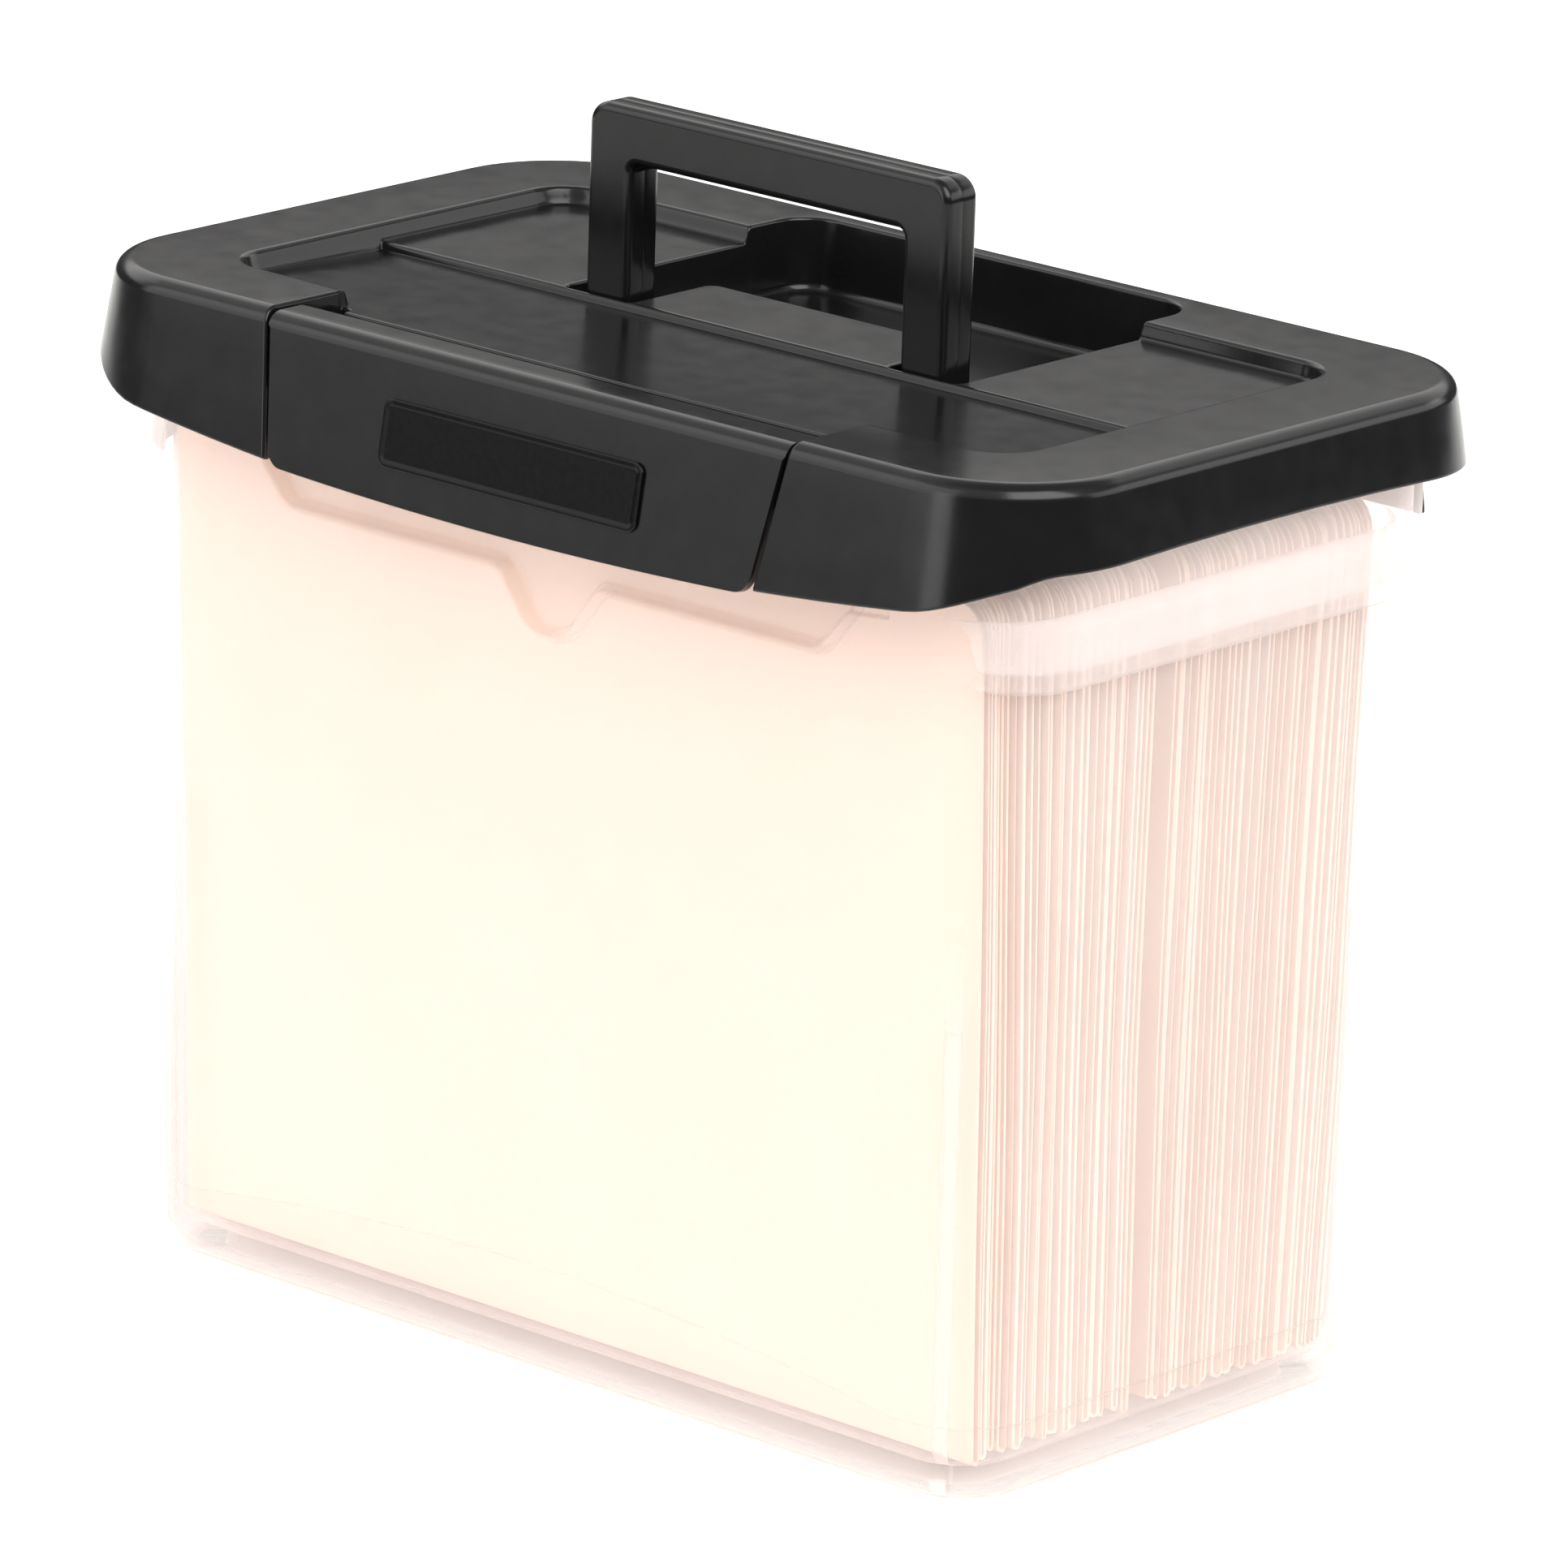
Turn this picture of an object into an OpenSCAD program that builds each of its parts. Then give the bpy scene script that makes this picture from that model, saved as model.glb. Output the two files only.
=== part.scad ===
// Portable file box: a translucent tub of manila folders under a lift-off lid,
// with a flip-up front latch and a carrying handle that folds down into the lid.
// Millimetres. +Z up, the latch faces -Y, the origin is under the middle of the base.

/* [Lid] */
// Height of the lid's rim above the table
lid_top = 287; // [286:0.5:290]
// Half width of the rim at its upper edge
rim_a = 177.5; // [176:0.5:180]
// Half depth of the rim at its upper edge
rim_b = 102.5; // [101.5:0.5:104]
// Plan radius of the lid's corners
lid_corner = 40; // [34:1:42]
// Radius along the rim's upper edge
rim_edge = 5; // [3:0.5:6]
// How much the skirt flares out for each millimetre down
flare = 0.165; // [0.12:0.005:0.18]
// Wall of the lid
lid_wall = 2.5; // [2:0.1:3]
// Height of the skirt's lower edge at the middle of the front
skirt_front = 243; // [241:0.5:244]
// Rise of that edge at 90 mm from the middle
skirt_rise = 3.4; // [2:0.1:4]
// Extra rise of that edge round the corners
corner_lift = 6.3; // [4:0.1:8]
// Height of the skirt's lower edge at the back
skirt_back = 239.5; // [238:0.5:241]
// Half width of the deep part of the skirt at the back
apron_a = 142; // [140:0.5:143]
// Height of the skirt's lower edge at the middle of each end
skirt_end = 265.4; // [264:0.1:268]

/* [Lid recess] */
// Half width of the sunken floor
recess_a = 143.5; // [140:0.5:145]
// Front edge of the sunken floor's side walls
recess_front = -71; // [-72:0.5:-68]
// Back edge of the sunken floor
recess_back = 69; // [66:0.5:72]
// Depth of the sunken floor below the rim
recess_depth = 4.7; // [4:0.1:6]
// How far the front panel of the floor has sunk at the step
ramp_drop = 2.4; // [1:0.1:3]
// Place of the step across the floor, just in front of the handle
step_y = -9; // [-10:0.5:-8.5]
// Half width of the well that takes the folded handle
well_a = 71; // [69:0.5:73]
// Back wall of that well
well_back = 93; // [88:0.5:94]
// Height of the well's floor
well_floor = 266; // [265.5:0.5:266]
// Half width of the raised platform inside the handle
platform_a = 47; // [44:0.5:48]
// Back edge of the platform
platform_back = 25; // [20:1:34]

/* [Latch] */
// Half width of the opening for the latch, at the rim
bay_a = 96.2; // [95.8:0.1:96.5]
// Half width of the latch, at the rim
latch_a = 94.7; // [94:0.1:95]
// How much both narrow for each millimetre down
bay_taper = 0.16; // [0:0.01:0.18]
// Rise of the latch's lower edge at 90 mm from the middle
latch_rise = 2.4; // [2:0.1:3.4]
// Distance of the latch's hinge in front of the middle
latch_pin_y = -93; // [-94:0.5:-92]
// Height of the latch's hinge
latch_pin_z = 280.5; // [280:0.5:281]
// Radius of the latch's stub pins
latch_pin_r = 2; // [1.5:0.1:2.4]
// Running clearance round every pin
pin_fit = 0.05; // [0.02:0.01:0.09]
// Width of the plain label plate
plate_w = 95; // [60:1:110]
// Height of the plain label plate
plate_h = 19; // [12:1:24]

/* [Handle] */
// Half width of the handle
handle_a = 66; // [62:0.5:67]
// Width of each leg, and height of the grip
leg = 16; // [12:0.5:16]
// Depth of the handle from front to back
handle_d = 13; // [11:0.5:13]
// Height of the upright handle's top
handle_top = 336.5; // [330:0.5:338]
// Height of the handle's hinge
handle_pin_z = 273.5; // [273:0.5:274]
// Radius of the handle's stub pins
handle_pin_r = 3; // [2:0.5:4]

/* [Tub] */
// Half width of the tub's walls at the table
tub_a = 158; // [157:0.5:160]
// Half depth of the tub's walls at the table
tub_b = 87.5; // [87:0.5:89]
// Plan radius of the tub's corners at the table
tub_corner = 25; // [22:1:27]
// Draft of the walls for each millimetre up
draft = 0.0152; // [0.01:0.001:0.018]
// Wall of the tub
tub_wall = 2.4; // [2:0.1:2.6]
// Radius round the tub's bottom edge
foot_edge = 8; // [5:1:10]
// Height of the tub's floor, on which the folders stand
tub_floor = 8.5; // [6:0.5:9]
// Height of the crease of the base band at the ends
band_end = 22; // [18:1:26]
// Height of that crease at the middle of the front
band_front = 32; // [28:1:36]
// Half width of the shoulder that carries the file rails
shoulder_a = 170; // [168:0.5:171]
// Height of the ledge inside the shoulder
ledge_z = 233; // [231:1:236]
// Height of the hanging-file rails
rail_z = 246; // [243:1:248]
// Depth of the finger recess in the front wall
recess_in = 5; // [3:0.5:5]
// Radius of the thumb dip in that recess
dip_r = 12; // [10:0.5:15]

/* [Folders] */
// Number of folders standing in the tub
folder_count = 35; // [20:1:36]
// Width of a letter-size folder
folder_w = 295; // [290:1:296]
// Height of a folder's leaves
leaf_h = 241; // [230:1:242]
// Radius of a leaf's upper corners
leaf_r = 10; // [4:1:14]
// Thickness of the folder's card
card = 0.5; // [0.3:0.05:0.6]
// Space between a folder's two leaves
leaf_gap = 1.9; // [1.2:0.1:2]
// Distance between folders at the bottom
folder_pitch = 4.1; // [3.9:0.05:4.2]
// Lean of the first and last folder, in degrees
folder_lean = 2; // [0:0.1:2.2]
// Clear slot left between two folders for new papers
paper_slot = 6; // [5:0.5:7]

/* [Hidden] */
function pad(i) = str(i < 10 ? "0" : "", i);
FOLDERS = [for (i = [1:folder_count]) str("folder_", pad(i))];
flare_z = lid_top - rim_edge;
floor_z = lid_top - recess_depth;
bay_floor = 267;
bay_lip = -98.5;
low_end = 247;
bay_back = -76;
shell = 2.2;
front_face = rim_b + (flare_z - 262.5) * flare;
tub_top = lid_top - 3.2;
handle_y = -0.5;
reach = 400;
notch_z = 262.5;
smooth = 48;

// The half-outline that each lid corner is turned from, shrunk by t all round.
function lid_profile(t) = concat(
    [[0, 225], [lid_corner - t + (flare_z - 225) * flare, 225]],
    [for (k = [0:4])
        [lid_corner - rim_edge - t + rim_edge * cos(k * 22.5),
         flare_z - t + rim_edge * sin(k * 22.5)]],
    [[0, lid_top - t]]
);

// The same for a tub corner: its radius grows with the draft above the rounded foot.
function tub_profile(t, low, high) = concat(
    [[0, low]],
    [for (k = [0:4])
        [tub_corner - t - foot_edge + low * draft + foot_edge * sin(k * 22.5),
         low + foot_edge * (1 - cos(k * 22.5))]],
    [[tub_corner - t + high * draft, high], [0, high]]
);

// Height of the skirt's lower edge at a distance x from the middle.
function ease(t) = let (c = max(0, min(1, t))) c * c * (3 - 2 * c);
function skirt_low(x) = skirt_front + skirt_rise * pow(x / 90, 2)
    + corner_lift * ease((abs(x) - 142) / 37);

// Points of an arc from one angle to another.
function arc(x, y, r, from, to, n = 10) =
    [for (k = [0:n]) let (q = from + (to - from) * k / n) [x + r * cos(q), y + r * sin(q)]];

// Points of a rounded rectangle between two corners.
function rounded(x0, y0, x1, y1, r) = concat(
    arc(x1 - r, y1 - r, r, 0, 90), arc(x0 + r, y1 - r, r, 90, 180),
    arc(x0 + r, y0 + r, r, 180, 270), arc(x1 - r, y0 + r, r, 270, 360)
);

// A convex body whose four corners are turned from one half-outline.
module four_corners(a, b, r, profile) {
    hull()
        for (x = [-1, 1], y = [-1, 1])
            translate([x * (a - r), y * (b - r), 0])
                rotate_extrude($fn = smooth)
                    polygon(profile);
}

// A rounded rectangle in the XY plane, from its corners.
module plan(x0, y0, x1, y1, r) {
    polygon(rounded(x0, y0, x1, y1, r));
}

// Extrudes an XZ drawing from y0 to y1.
module along_y(y0, y1) {
    translate([0, y1, 0])
        rotate([90, 0, 0])
            linear_extrude(y1 - y0)
                children();
}

// Extrudes a YZ drawing from -a to a.
module along_x(a) {
    rotate([90, 0, 90])
        translate([0, 0, -a])
            linear_extrude(2 * a)
                children();
}

// A box from one corner to the other.
module block(p, q) {
    translate(p)
        cube(q - p);
}

// A round bar along X between x0 and x1.
module bar(x0, x1, y, z, r) {
    translate([x0, y, z])
        rotate([0, 90, 0])
            cylinder(h = x1 - x0, r = r, $fn = smooth);
}

// ---------------------------------------------------------------- lid

// Everything below the skirt's lower edge: smiling at the front, straight and square-ended at
// the back, and slightly arched across each end.
module under_skirt() {
    along_y(-reach, 0)
        polygon(concat(
            [for (x = [-190:4:190]) [x, skirt_low(x)]],
            [[190, 200], [-190, 200]]
        ));
    along_y(0, reach)
        polygon([
            [-190, skirt_end - 2.9], [-apron_a, skirt_end - 2.9], [-apron_a, skirt_back],
            [apron_a, skirt_back], [apron_a, skirt_end - 2.9], [190, skirt_end - 2.9],
            [190, 200], [-190, 200]
        ]);
    for (x = [-1, 1])
        translate([x * 196, 0, 0])
            along_x(19.5)
                polygon(concat(
                    [for (y = [-100:10:100]) [y, skirt_end - 2.9 * pow(y / 100, 2)]],
                    [[100, 200], [-100, 200]]
                ));
}

// The plan of the sunken floor, with its opening towards the latch.
module recess_plan(t) {
    plan(-recess_a - t, recess_front - t, recess_a + t, recess_back + t, 14 + t);
    translate([-bay_a, bay_back])
        square([2 * bay_a, 20]);
}

// The air above the sunken floor: level behind the step, a slight ramp in front of it.
module recess_air() {
    intersection() {
        linear_extrude(reach)
            recess_plan(0);
        along_x(160)
            polygon([
                [-130, floor_z - 0.3], [step_y, floor_z - ramp_drop], [step_y, floor_z],
                [100, floor_z], [100, reach], [-130, reach]
            ]);
    }
}

// The plan of the well: a back trough and two channels round the platform.
module well_plan(t) {
    difference() {
        plan(-well_a - t, step_y - t, well_a + t, well_back + t, 12 + t);
        translate([-platform_a + t, step_y - 30])
            square([2 * (platform_a - t), platform_back - t - step_y + 30]);
    }
    for (x = [-1, 1])
        translate([x * (well_a + platform_a) / 2, step_y + 7])
            square([well_a - platform_a + 2 * t, 14 + 2 * t], center = true);
}

// Half width of the latch or its opening at a height, from its half width at the rim.
function narrowed(a, z) = a - (lid_top - z) * bay_taper;

// The opening in the skirt, seen from the front: it narrows downwards.
module bay_outline() {
    polygon([
        [-narrowed(bay_a, 200), 200], [narrowed(bay_a, 200), 200],
        [narrowed(bay_a, 320), 320], [-narrowed(bay_a, 320), 320]
    ]);
}

module lid() {
    color("#2b2b2d")
    difference() {
        four_corners(rim_a, rim_b, lid_corner, lid_profile(0));
        difference() {
            four_corners(rim_a, rim_b, lid_corner, lid_profile(lid_wall));
            translate([0, 0, floor_z - ramp_drop - shell])
                linear_extrude(60)
                    recess_plan(shell);
            translate([0, 0, well_floor - shell])
                linear_extrude(60)
                    well_plan(shell);
            block([-bay_a - shell, bay_lip, bay_floor - shell], [bay_a + shell, bay_back + shell, 320]);
        }
        recess_air();
        translate([0, 0, well_floor])
            linear_extrude(60)
                well_plan(0);
        block([-bay_a, bay_lip - 0.5, bay_floor], [bay_a, bay_back, 320]);
        along_y(-130, bay_lip)
            bay_outline();
        under_skirt();
        bar(-bay_a - 5, bay_a + 5, latch_pin_y, latch_pin_z, latch_pin_r + pin_fit);
        for (x = [-1, 1])
            bar(x * 71.5 - 4, x * 71.5 + 4, handle_y, handle_pin_z, handle_pin_r + pin_fit);
    }
}

// ---------------------------------------------------------------- latch

// Height along the latch's sloping face, as a distance in front of the middle.
function face_y(z) = -rim_b - (flare_z - z) * flare;

// Section of the latch's panel and its top flange.
module latch_section() {
    top = lid_top - 1;
    polygon(concat(
        [[face_y(225), 225]],
        [for (k = [0:5])
            [-rim_b + rim_edge - rim_edge * cos(k * 18), top - rim_edge + rim_edge * sin(k * 18)]],
        [[-89, top], [-88.4, top - 1.2], [-89, top - 2.5]],
        [[-rim_b + 4.5, top - 2.5], [-rim_b + 2.5, top - 4.5], [face_y(225) + 2.5, 225]]
    ));
}

// The latch seen from the front: it narrows downwards to the smiling lower edge.
module latch_outline() {
    foot = narrowed(latch_a, low_end) - 5;
    low = skirt_front + latch_rise;
    polygon(concat(
        [for (k = [0:20]) let (x = foot * (k / 10 - 1)) [x, skirt_front + latch_rise * pow(x / 90, 2)]],
        arc(foot, low + 5 - 0.2, 5, 280, 350, 4),
        [[narrowed(latch_a, 300), 300], [-narrowed(latch_a, 300), 300]],
        arc(-foot, low + 5 - 0.2, 5, 190, 260, 4)
    ));
}

module latch() {
    color("#303032")
    union() {
        intersection() {
            along_x(latch_a + 1)
                latch_section();
            along_y(-130, -80)
                latch_outline();
        }
        bar(2 - latch_a, latch_a - 2, latch_pin_y, latch_pin_z, 4);
        bar(-latch_a - 3.2, latch_a + 3.2, latch_pin_y, latch_pin_z, latch_pin_r);
        // Hook that comes up behind the tub's catch.
        block([-50, -107, 245.5], [50, -99.3, 248]);
        // Ribs from the barrel down the back of the panel.
        for (x = [-60, 0, 60])
            latch_rib(x);
    }
}

// A thin stiffening rib behind the latch panel.
module latch_rib(x) {
    translate([x, 0, 0])
        along_x(1)
            polygon([[-96, 281], [-101.4, 284], [face_y(270) + 1, 270]]);
}

module label_plate() {
    color("#151516")
    translate([0, face_y(262.5) - 0.02, 262.5])
        rotate([90 - atan(flare), 0, 0])
            linear_extrude(0.9)
                translate([-plate_w / 2, -plate_h / 2])
                    plan(0, 0, plate_w, plate_h, 3);
}

// ---------------------------------------------------------------- handle

module handle() {
    bottom = handle_pin_z;
    color("#29292b")
    union() {
        intersection() {
            along_y(handle_y - handle_d / 2, handle_y + handle_d / 2)
                difference() {
                    translate([-handle_a, bottom])
                        plan(0, -12, 2 * handle_a, handle_top - bottom, 6);
                    translate([-handle_a + leg, bottom - 20])
                        plan(0, -20, 2 * (handle_a - leg), handle_top - leg - bottom + 20, 4);
                    translate([-handle_a - 1, bottom - 20])
                        square([2 * handle_a + 2, 20]);
                }
            along_x(handle_a + 1)
                translate([handle_y - handle_d / 2, bottom])
                    plan(0, -12, handle_d, handle_top - bottom, 3);
        }
        for (x = [-handle_a, handle_a - leg])
            bar(x, x + leg, handle_y, handle_pin_z, handle_d / 2);
        for (x = [-1, 1])
            bar(x * 68 - 4.9, x * 68 + 4.9, handle_y, handle_pin_z, handle_pin_r);
    }
}

// ---------------------------------------------------------------- tub

// Points of the front finger recess, grown by t: a wide trapezoid with a flared thumb dip.
function finger_points(t) =
    let (
        low = 228.8, side = 55, middle = 212 + dip_r,
        corner = dip_r * sin(side) + (low - middle + dip_r * cos(side)) / tan(side),
        xf = corner + 6 * tan(side / 2)
    )
    concat(
        [[109 + t, 300], [-109 - t, 300], [-109 - t, 242]],
        arc(-94, low + 8, 8 + t, 210, 270, 6),
        arc(-xf, low - 6, 6 - t, 90, 90 - side, 5),
        arc(0, middle, dip_r + t, 270 - side, 270 + side, 16),
        arc(xf, low - 6, 6 - t, 90 + side, 90, 5),
        arc(94, low + 8, 8 + t, 270, 330, 6),
        [[109 + t, 242]]
    );

// Everything above the base band's crease, which arches up across the front.
module above_band() {
    difference() {
        block([-reach, -reach, band_end], [reach, reach, reach]);
        sag = band_front - band_end;
        radius = (130 * 130 + sag * sag) / (2 * sag);
        translate([0, 0, band_front - radius])
            rotate([90, 0, 0])
                cylinder(h = 2 * reach, r = radius, center = true, $fn = 360);
    }
}

// The tub's plain wall, shrunk by t, from its foot up to a height.
module tub_wall_body(t, low, high) {
    four_corners(tub_a, tub_b, tub_corner, tub_profile(t, low, high));
}

// The shoulder at the ends, which fades into the flat front and back.
module shoulder() {
    r = tub_corner + 3;
    profile = concat(
        [[0, 226]],
        [for (k = [0:4]) [r - 9 + 9 * sin(k * 22.5), 237 - 11 * cos(k * 22.5)]],
        [[r, tub_top], [0, tub_top]]
    );
    four_corners(shoulder_a, tub_b + 3.4, r, profile);
}

// The tub's hollow: the space for the folders, and the channels behind the file rails.
module tub_hollow() {
    r = tub_corner + 3 - tub_wall;
    tub_wall_body(tub_wall, tub_floor, 300);
    difference() {
        translate([0, 0, ledge_z])
            linear_extrude(100)
                plan(-shoulder_a + tub_wall, -tub_b - 0.9, shoulder_a - tub_wall, tub_b + 0.9, r);
        intersection() {
            tub_wall_body(0, 0, tub_top);
            block([-reach, -reach, 0], [reach, reach, rail_z]);
        }
    }
}

// A stiffening rib down the inside of one corner.
module corner_rib(x, y) {
    translate([x * (tub_a - tub_corner), y * (tub_b - tub_corner), tub_floor - 1])
        rotate([0, 0, atan2(y * sin(62), x * cos(62))])
            rotate([0, atan(draft), 0])
                translate([tub_corner - tub_wall - 1.4, -2.5, 0])
                    cube([2.2, 5, 125]);
}

module tub() {
    deep = -tub_b - 3.4 + recess_in;
    color("#f2eee8", 0.45)
    difference() {
        union() {
            difference() {
                union() {
                    intersection() {
                        tub_wall_body(0, 0, tub_top);
                        above_band();
                    }
                    tub_wall_body(1, 0, band_front + 1);
                    shoulder();
                }
                tub_hollow();
            }
            // Wall behind the finger recess, the catch, and the ribs in the corners.
            intersection() {
                along_y(-tub_b - 1.5, deep + tub_wall)
                    polygon(finger_points(tub_wall));
                tub_wall_body(0, 0, tub_top);
            }
            block([-52, -99, 250], [52, deep + 1, 252.5]);
            for (x = [-1, 1], y = [-1, 1])
                corner_rib(x, y);
        }
        // The finger recess, cut from above the catch and below it.
        difference() {
            along_y(-120, deep)
                polygon(finger_points(0));
            block([-52, -99, 250], [52, deep + 1, 252.5]);
        }
        // The shallow step that runs on from the recess to the corners.
        difference() {
            along_y(-120, -tub_b - 2.2)
                polygon([[-134, 243.5], [-109, 241], [109, 241], [134, 243.5], [134, 300], [-134, 300]]);
            block([-52, -99, 250], [52, deep + 1, 252.5]);
        }
        // Notches in the rim for the lid's latch bay and for its handle well.
        block([-bay_a - 6, -120, notch_z], [bay_a + 6, -70, 320]);
        block([-well_a - 8, 70, notch_z], [well_a + 8, 120, 320]);
        // Hollow under the floor, which leaves a ring to stand on.
        translate([0, 0, -1])
            linear_extrude(1 + tub_floor - 3)
                plan(-tub_a + 16, -tub_b + 16, tub_a - 16, tub_b - 16, 14);
    }
}

// ---------------------------------------------------------------- folders

// Outline of one leaf, with a tab on its upper edge when tab is 0, 1 or 2.
module leaf(tab) {
    fold = leaf_gap / 2 + card;
    half = folder_w / 2;
    polygon(concat(
        [[-half, fold], [half, fold]],
        arc(half - leaf_r, leaf_h - leaf_r, leaf_r, 0, 90),
        arc(leaf_r - half, leaf_h - leaf_r, leaf_r, 90, 180)
    ));
    if (tab >= 0)
        translate([-folder_w / 2 + 12 + tab * 92, leaf_h - 12])
            plan(0, 0, 86, 20, 4);
}

// One folder: two leaves and the fold between them, standing at the origin.
module folder(i) {
    fold = leaf_gap / 2 + card;
    along_y(-fold, -leaf_gap / 2)
        leaf(-1);
    along_y(leaf_gap / 2, fold)
        leaf(i % 3);
    difference() {
        bar(-folder_w / 2, folder_w / 2, 0, fold, fold);
        bar(-folder_w, folder_w, 0, fold, leaf_gap / 2);
        block([-folder_w, -10, fold], [folder_w, 10, 20]);
    }
}

// Distance of folder i behind the middle, with one wider slot in the row.
slot_after = floor(folder_count * 0.46);
function folder_y(i) = (i - (folder_count + 1) / 2) * folder_pitch
    + (i > slot_after ? paper_slot / 2 : -paper_slot / 2);
function folder_angle(i) = -folder_lean * (i - (folder_count + 1) / 2) / ((folder_count - 1) / 2);

module placed_folder(i) {
    color(i % 2 == 0 ? "#f6dcc4" : "#f9e2cc")
        translate([0, folder_y(i), tub_floor + 0.4])
            rotate([folder_angle(i), 0, 0])
                folder(i);
}

tub();
lid();
latch();
label_plate();
handle();
for (i = [1:folder_count])
    placed_folder(i);
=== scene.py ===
# %% [markdown]
# # A portable file box, dressed for its portrait
# The real thing is a translucent polypropylene tub full of manila folders. A black lid sits on
# it, with a latch along its front edge and a carrying handle that folds down into a well.
# CAD has made exact solids and says how they move. Here each of them gets the soft edges,
# the finish and the small irregularities that the eye expects, without leaving its place.

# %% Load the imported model, which stays fixed
import math

import bmesh
import bpy
import numpy as np
from mathutils import Matrix, Vector
from mathutils.geometry import delaunay_2d_cdt


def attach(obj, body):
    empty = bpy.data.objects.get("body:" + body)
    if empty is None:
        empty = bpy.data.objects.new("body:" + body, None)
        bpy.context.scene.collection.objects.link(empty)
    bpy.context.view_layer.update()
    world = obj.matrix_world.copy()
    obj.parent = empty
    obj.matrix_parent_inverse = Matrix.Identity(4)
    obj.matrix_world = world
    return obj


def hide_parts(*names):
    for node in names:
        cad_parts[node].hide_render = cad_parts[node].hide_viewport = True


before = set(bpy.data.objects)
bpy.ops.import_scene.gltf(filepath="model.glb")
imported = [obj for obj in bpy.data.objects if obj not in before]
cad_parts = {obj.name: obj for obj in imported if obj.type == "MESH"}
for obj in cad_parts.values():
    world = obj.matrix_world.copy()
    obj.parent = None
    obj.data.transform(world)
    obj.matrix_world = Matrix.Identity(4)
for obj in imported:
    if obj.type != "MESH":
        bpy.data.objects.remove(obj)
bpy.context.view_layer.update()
folder_nodes = sorted(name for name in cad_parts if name.startswith("folder_"))
print("loaded", len(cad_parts), "nodes;", len(folder_nodes), "are folders")

# %% [markdown]
# ## The camera first
# A product photographer stands well back with a long lens, so the box looks almost drawn in
# parallel. The camera below was found by matching straight edges of the box: it stands 3.1 m
# away, 41 degrees round to the right and 16 degrees up, and is rolled by less than 2 degrees.

# %% Camera


def linked(name, data):
    """A new object in the scene."""
    thing = bpy.data.objects.new(name, data)
    bpy.context.scene.collection.objects.link(thing)
    return thing


AZIMUTH, ELEVATION, ROLL = 41.43, 16.40, 1.857
DISTANCE, TARGET = 3.0857, Vector((0.00786, 0, 0.1542))
PHOTO_PIXELS, FOCAL_PIXELS = 1932, 13744.9


def photo_camera():
    az, el, ro = (math.radians(a) for a in (AZIMUTH, ELEVATION, ROLL))
    forward = Vector((-math.sin(az) * math.cos(el), math.cos(az) * math.cos(el), -math.sin(el)))
    level = Vector((math.cos(az), math.sin(az), 0))
    upright = level.cross(forward)
    right = math.cos(ro) * level + math.sin(ro) * upright
    up = -math.sin(ro) * level + math.cos(ro) * upright
    lens = bpy.data.cameras.new("photo_camera")
    lens.sensor_width = 36
    lens.lens = FOCAL_PIXELS / PHOTO_PIXELS * 36
    lens.clip_end = 50
    camera = linked("photo_camera", lens)
    place = TARGET - forward * DISTANCE
    camera.matrix_world = Matrix((
        (right.x, up.x, -forward.x, place.x),
        (right.y, up.y, -forward.y, place.y),
        (right.z, up.z, -forward.z, place.z),
        (0, 0, 0, 1),
    ))
    bpy.context.scene.camera = camera
    return camera


camera = photo_camera()
print("camera stands at", [round(v, 3) for v in camera.location])
print("its lens has", round(camera.data.lens, 1), "mm")

# %% [markdown]
# ## Drawing outlines
# Moulded plastic has no sharp corners, because they would stick in the mould. Nearly every
# outline here is therefore a polygon whose corners are rounded with a stated radius. One
# helper rounds corners, one grows an outline sideways, and one measures how far a point is
# from it. With these three a whole lid can be described by a few outlines and depths.

# %% Helpers for outlines, in millimetres


def rounded_path(corners, closed=True, step=11.0):
    """Corners are (x, y, radius). Returns the points, with each corner turned into an arc."""
    out = []
    n = len(corners)
    for i, (x, y, radius) in enumerate(corners):
        here = np.array([x, y], float)
        if radius <= 0 or (not closed and i in (0, n - 1)):
            out.append(here)
            continue
        a = np.array(corners[i - 1][:2], float) - here
        b = np.array(corners[(i + 1) % n][:2], float) - here
        a /= np.linalg.norm(a)
        b /= np.linalg.norm(b)
        half = math.acos(max(-1, min(1, a @ b))) / 2
        centre = here + (a + b) / np.linalg.norm(a + b) * radius / math.sin(half)
        start = here + a * radius / math.tan(half) - centre
        end = here + b * radius / math.tan(half) - centre
        sweep = math.atan2(start[0] * end[1] - start[1] * end[0], start @ end)
        count = max(2, round(abs(math.degrees(sweep)) / step))
        for k in range(count + 1):
            t = sweep * k / count
            c, s = math.cos(t), math.sin(t)
            out.append(centre + (c * start[0] - s * start[1], s * start[0] + c * start[1]))
    return np.array(out)


def grown(path, by, closed=True):
    """The outline moved outwards; the path runs anticlockwise."""
    nxt, prv = np.roll(path, -1, 0) - path, path - np.roll(path, 1, 0)
    if not closed:
        nxt[-1], prv[0] = prv[-1], nxt[0]
    nxt = nxt / np.linalg.norm(nxt, axis=1)[:, None]
    prv = prv / np.linalg.norm(prv, axis=1)[:, None]
    side = np.stack([nxt[:, 1] + prv[:, 1], -nxt[:, 0] - prv[:, 0]], 1)
    side /= np.maximum(1e-9, (side * np.stack([nxt[:, 1], -nxt[:, 0]], 1)).sum(1))[:, None]
    return path + side * by


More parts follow.
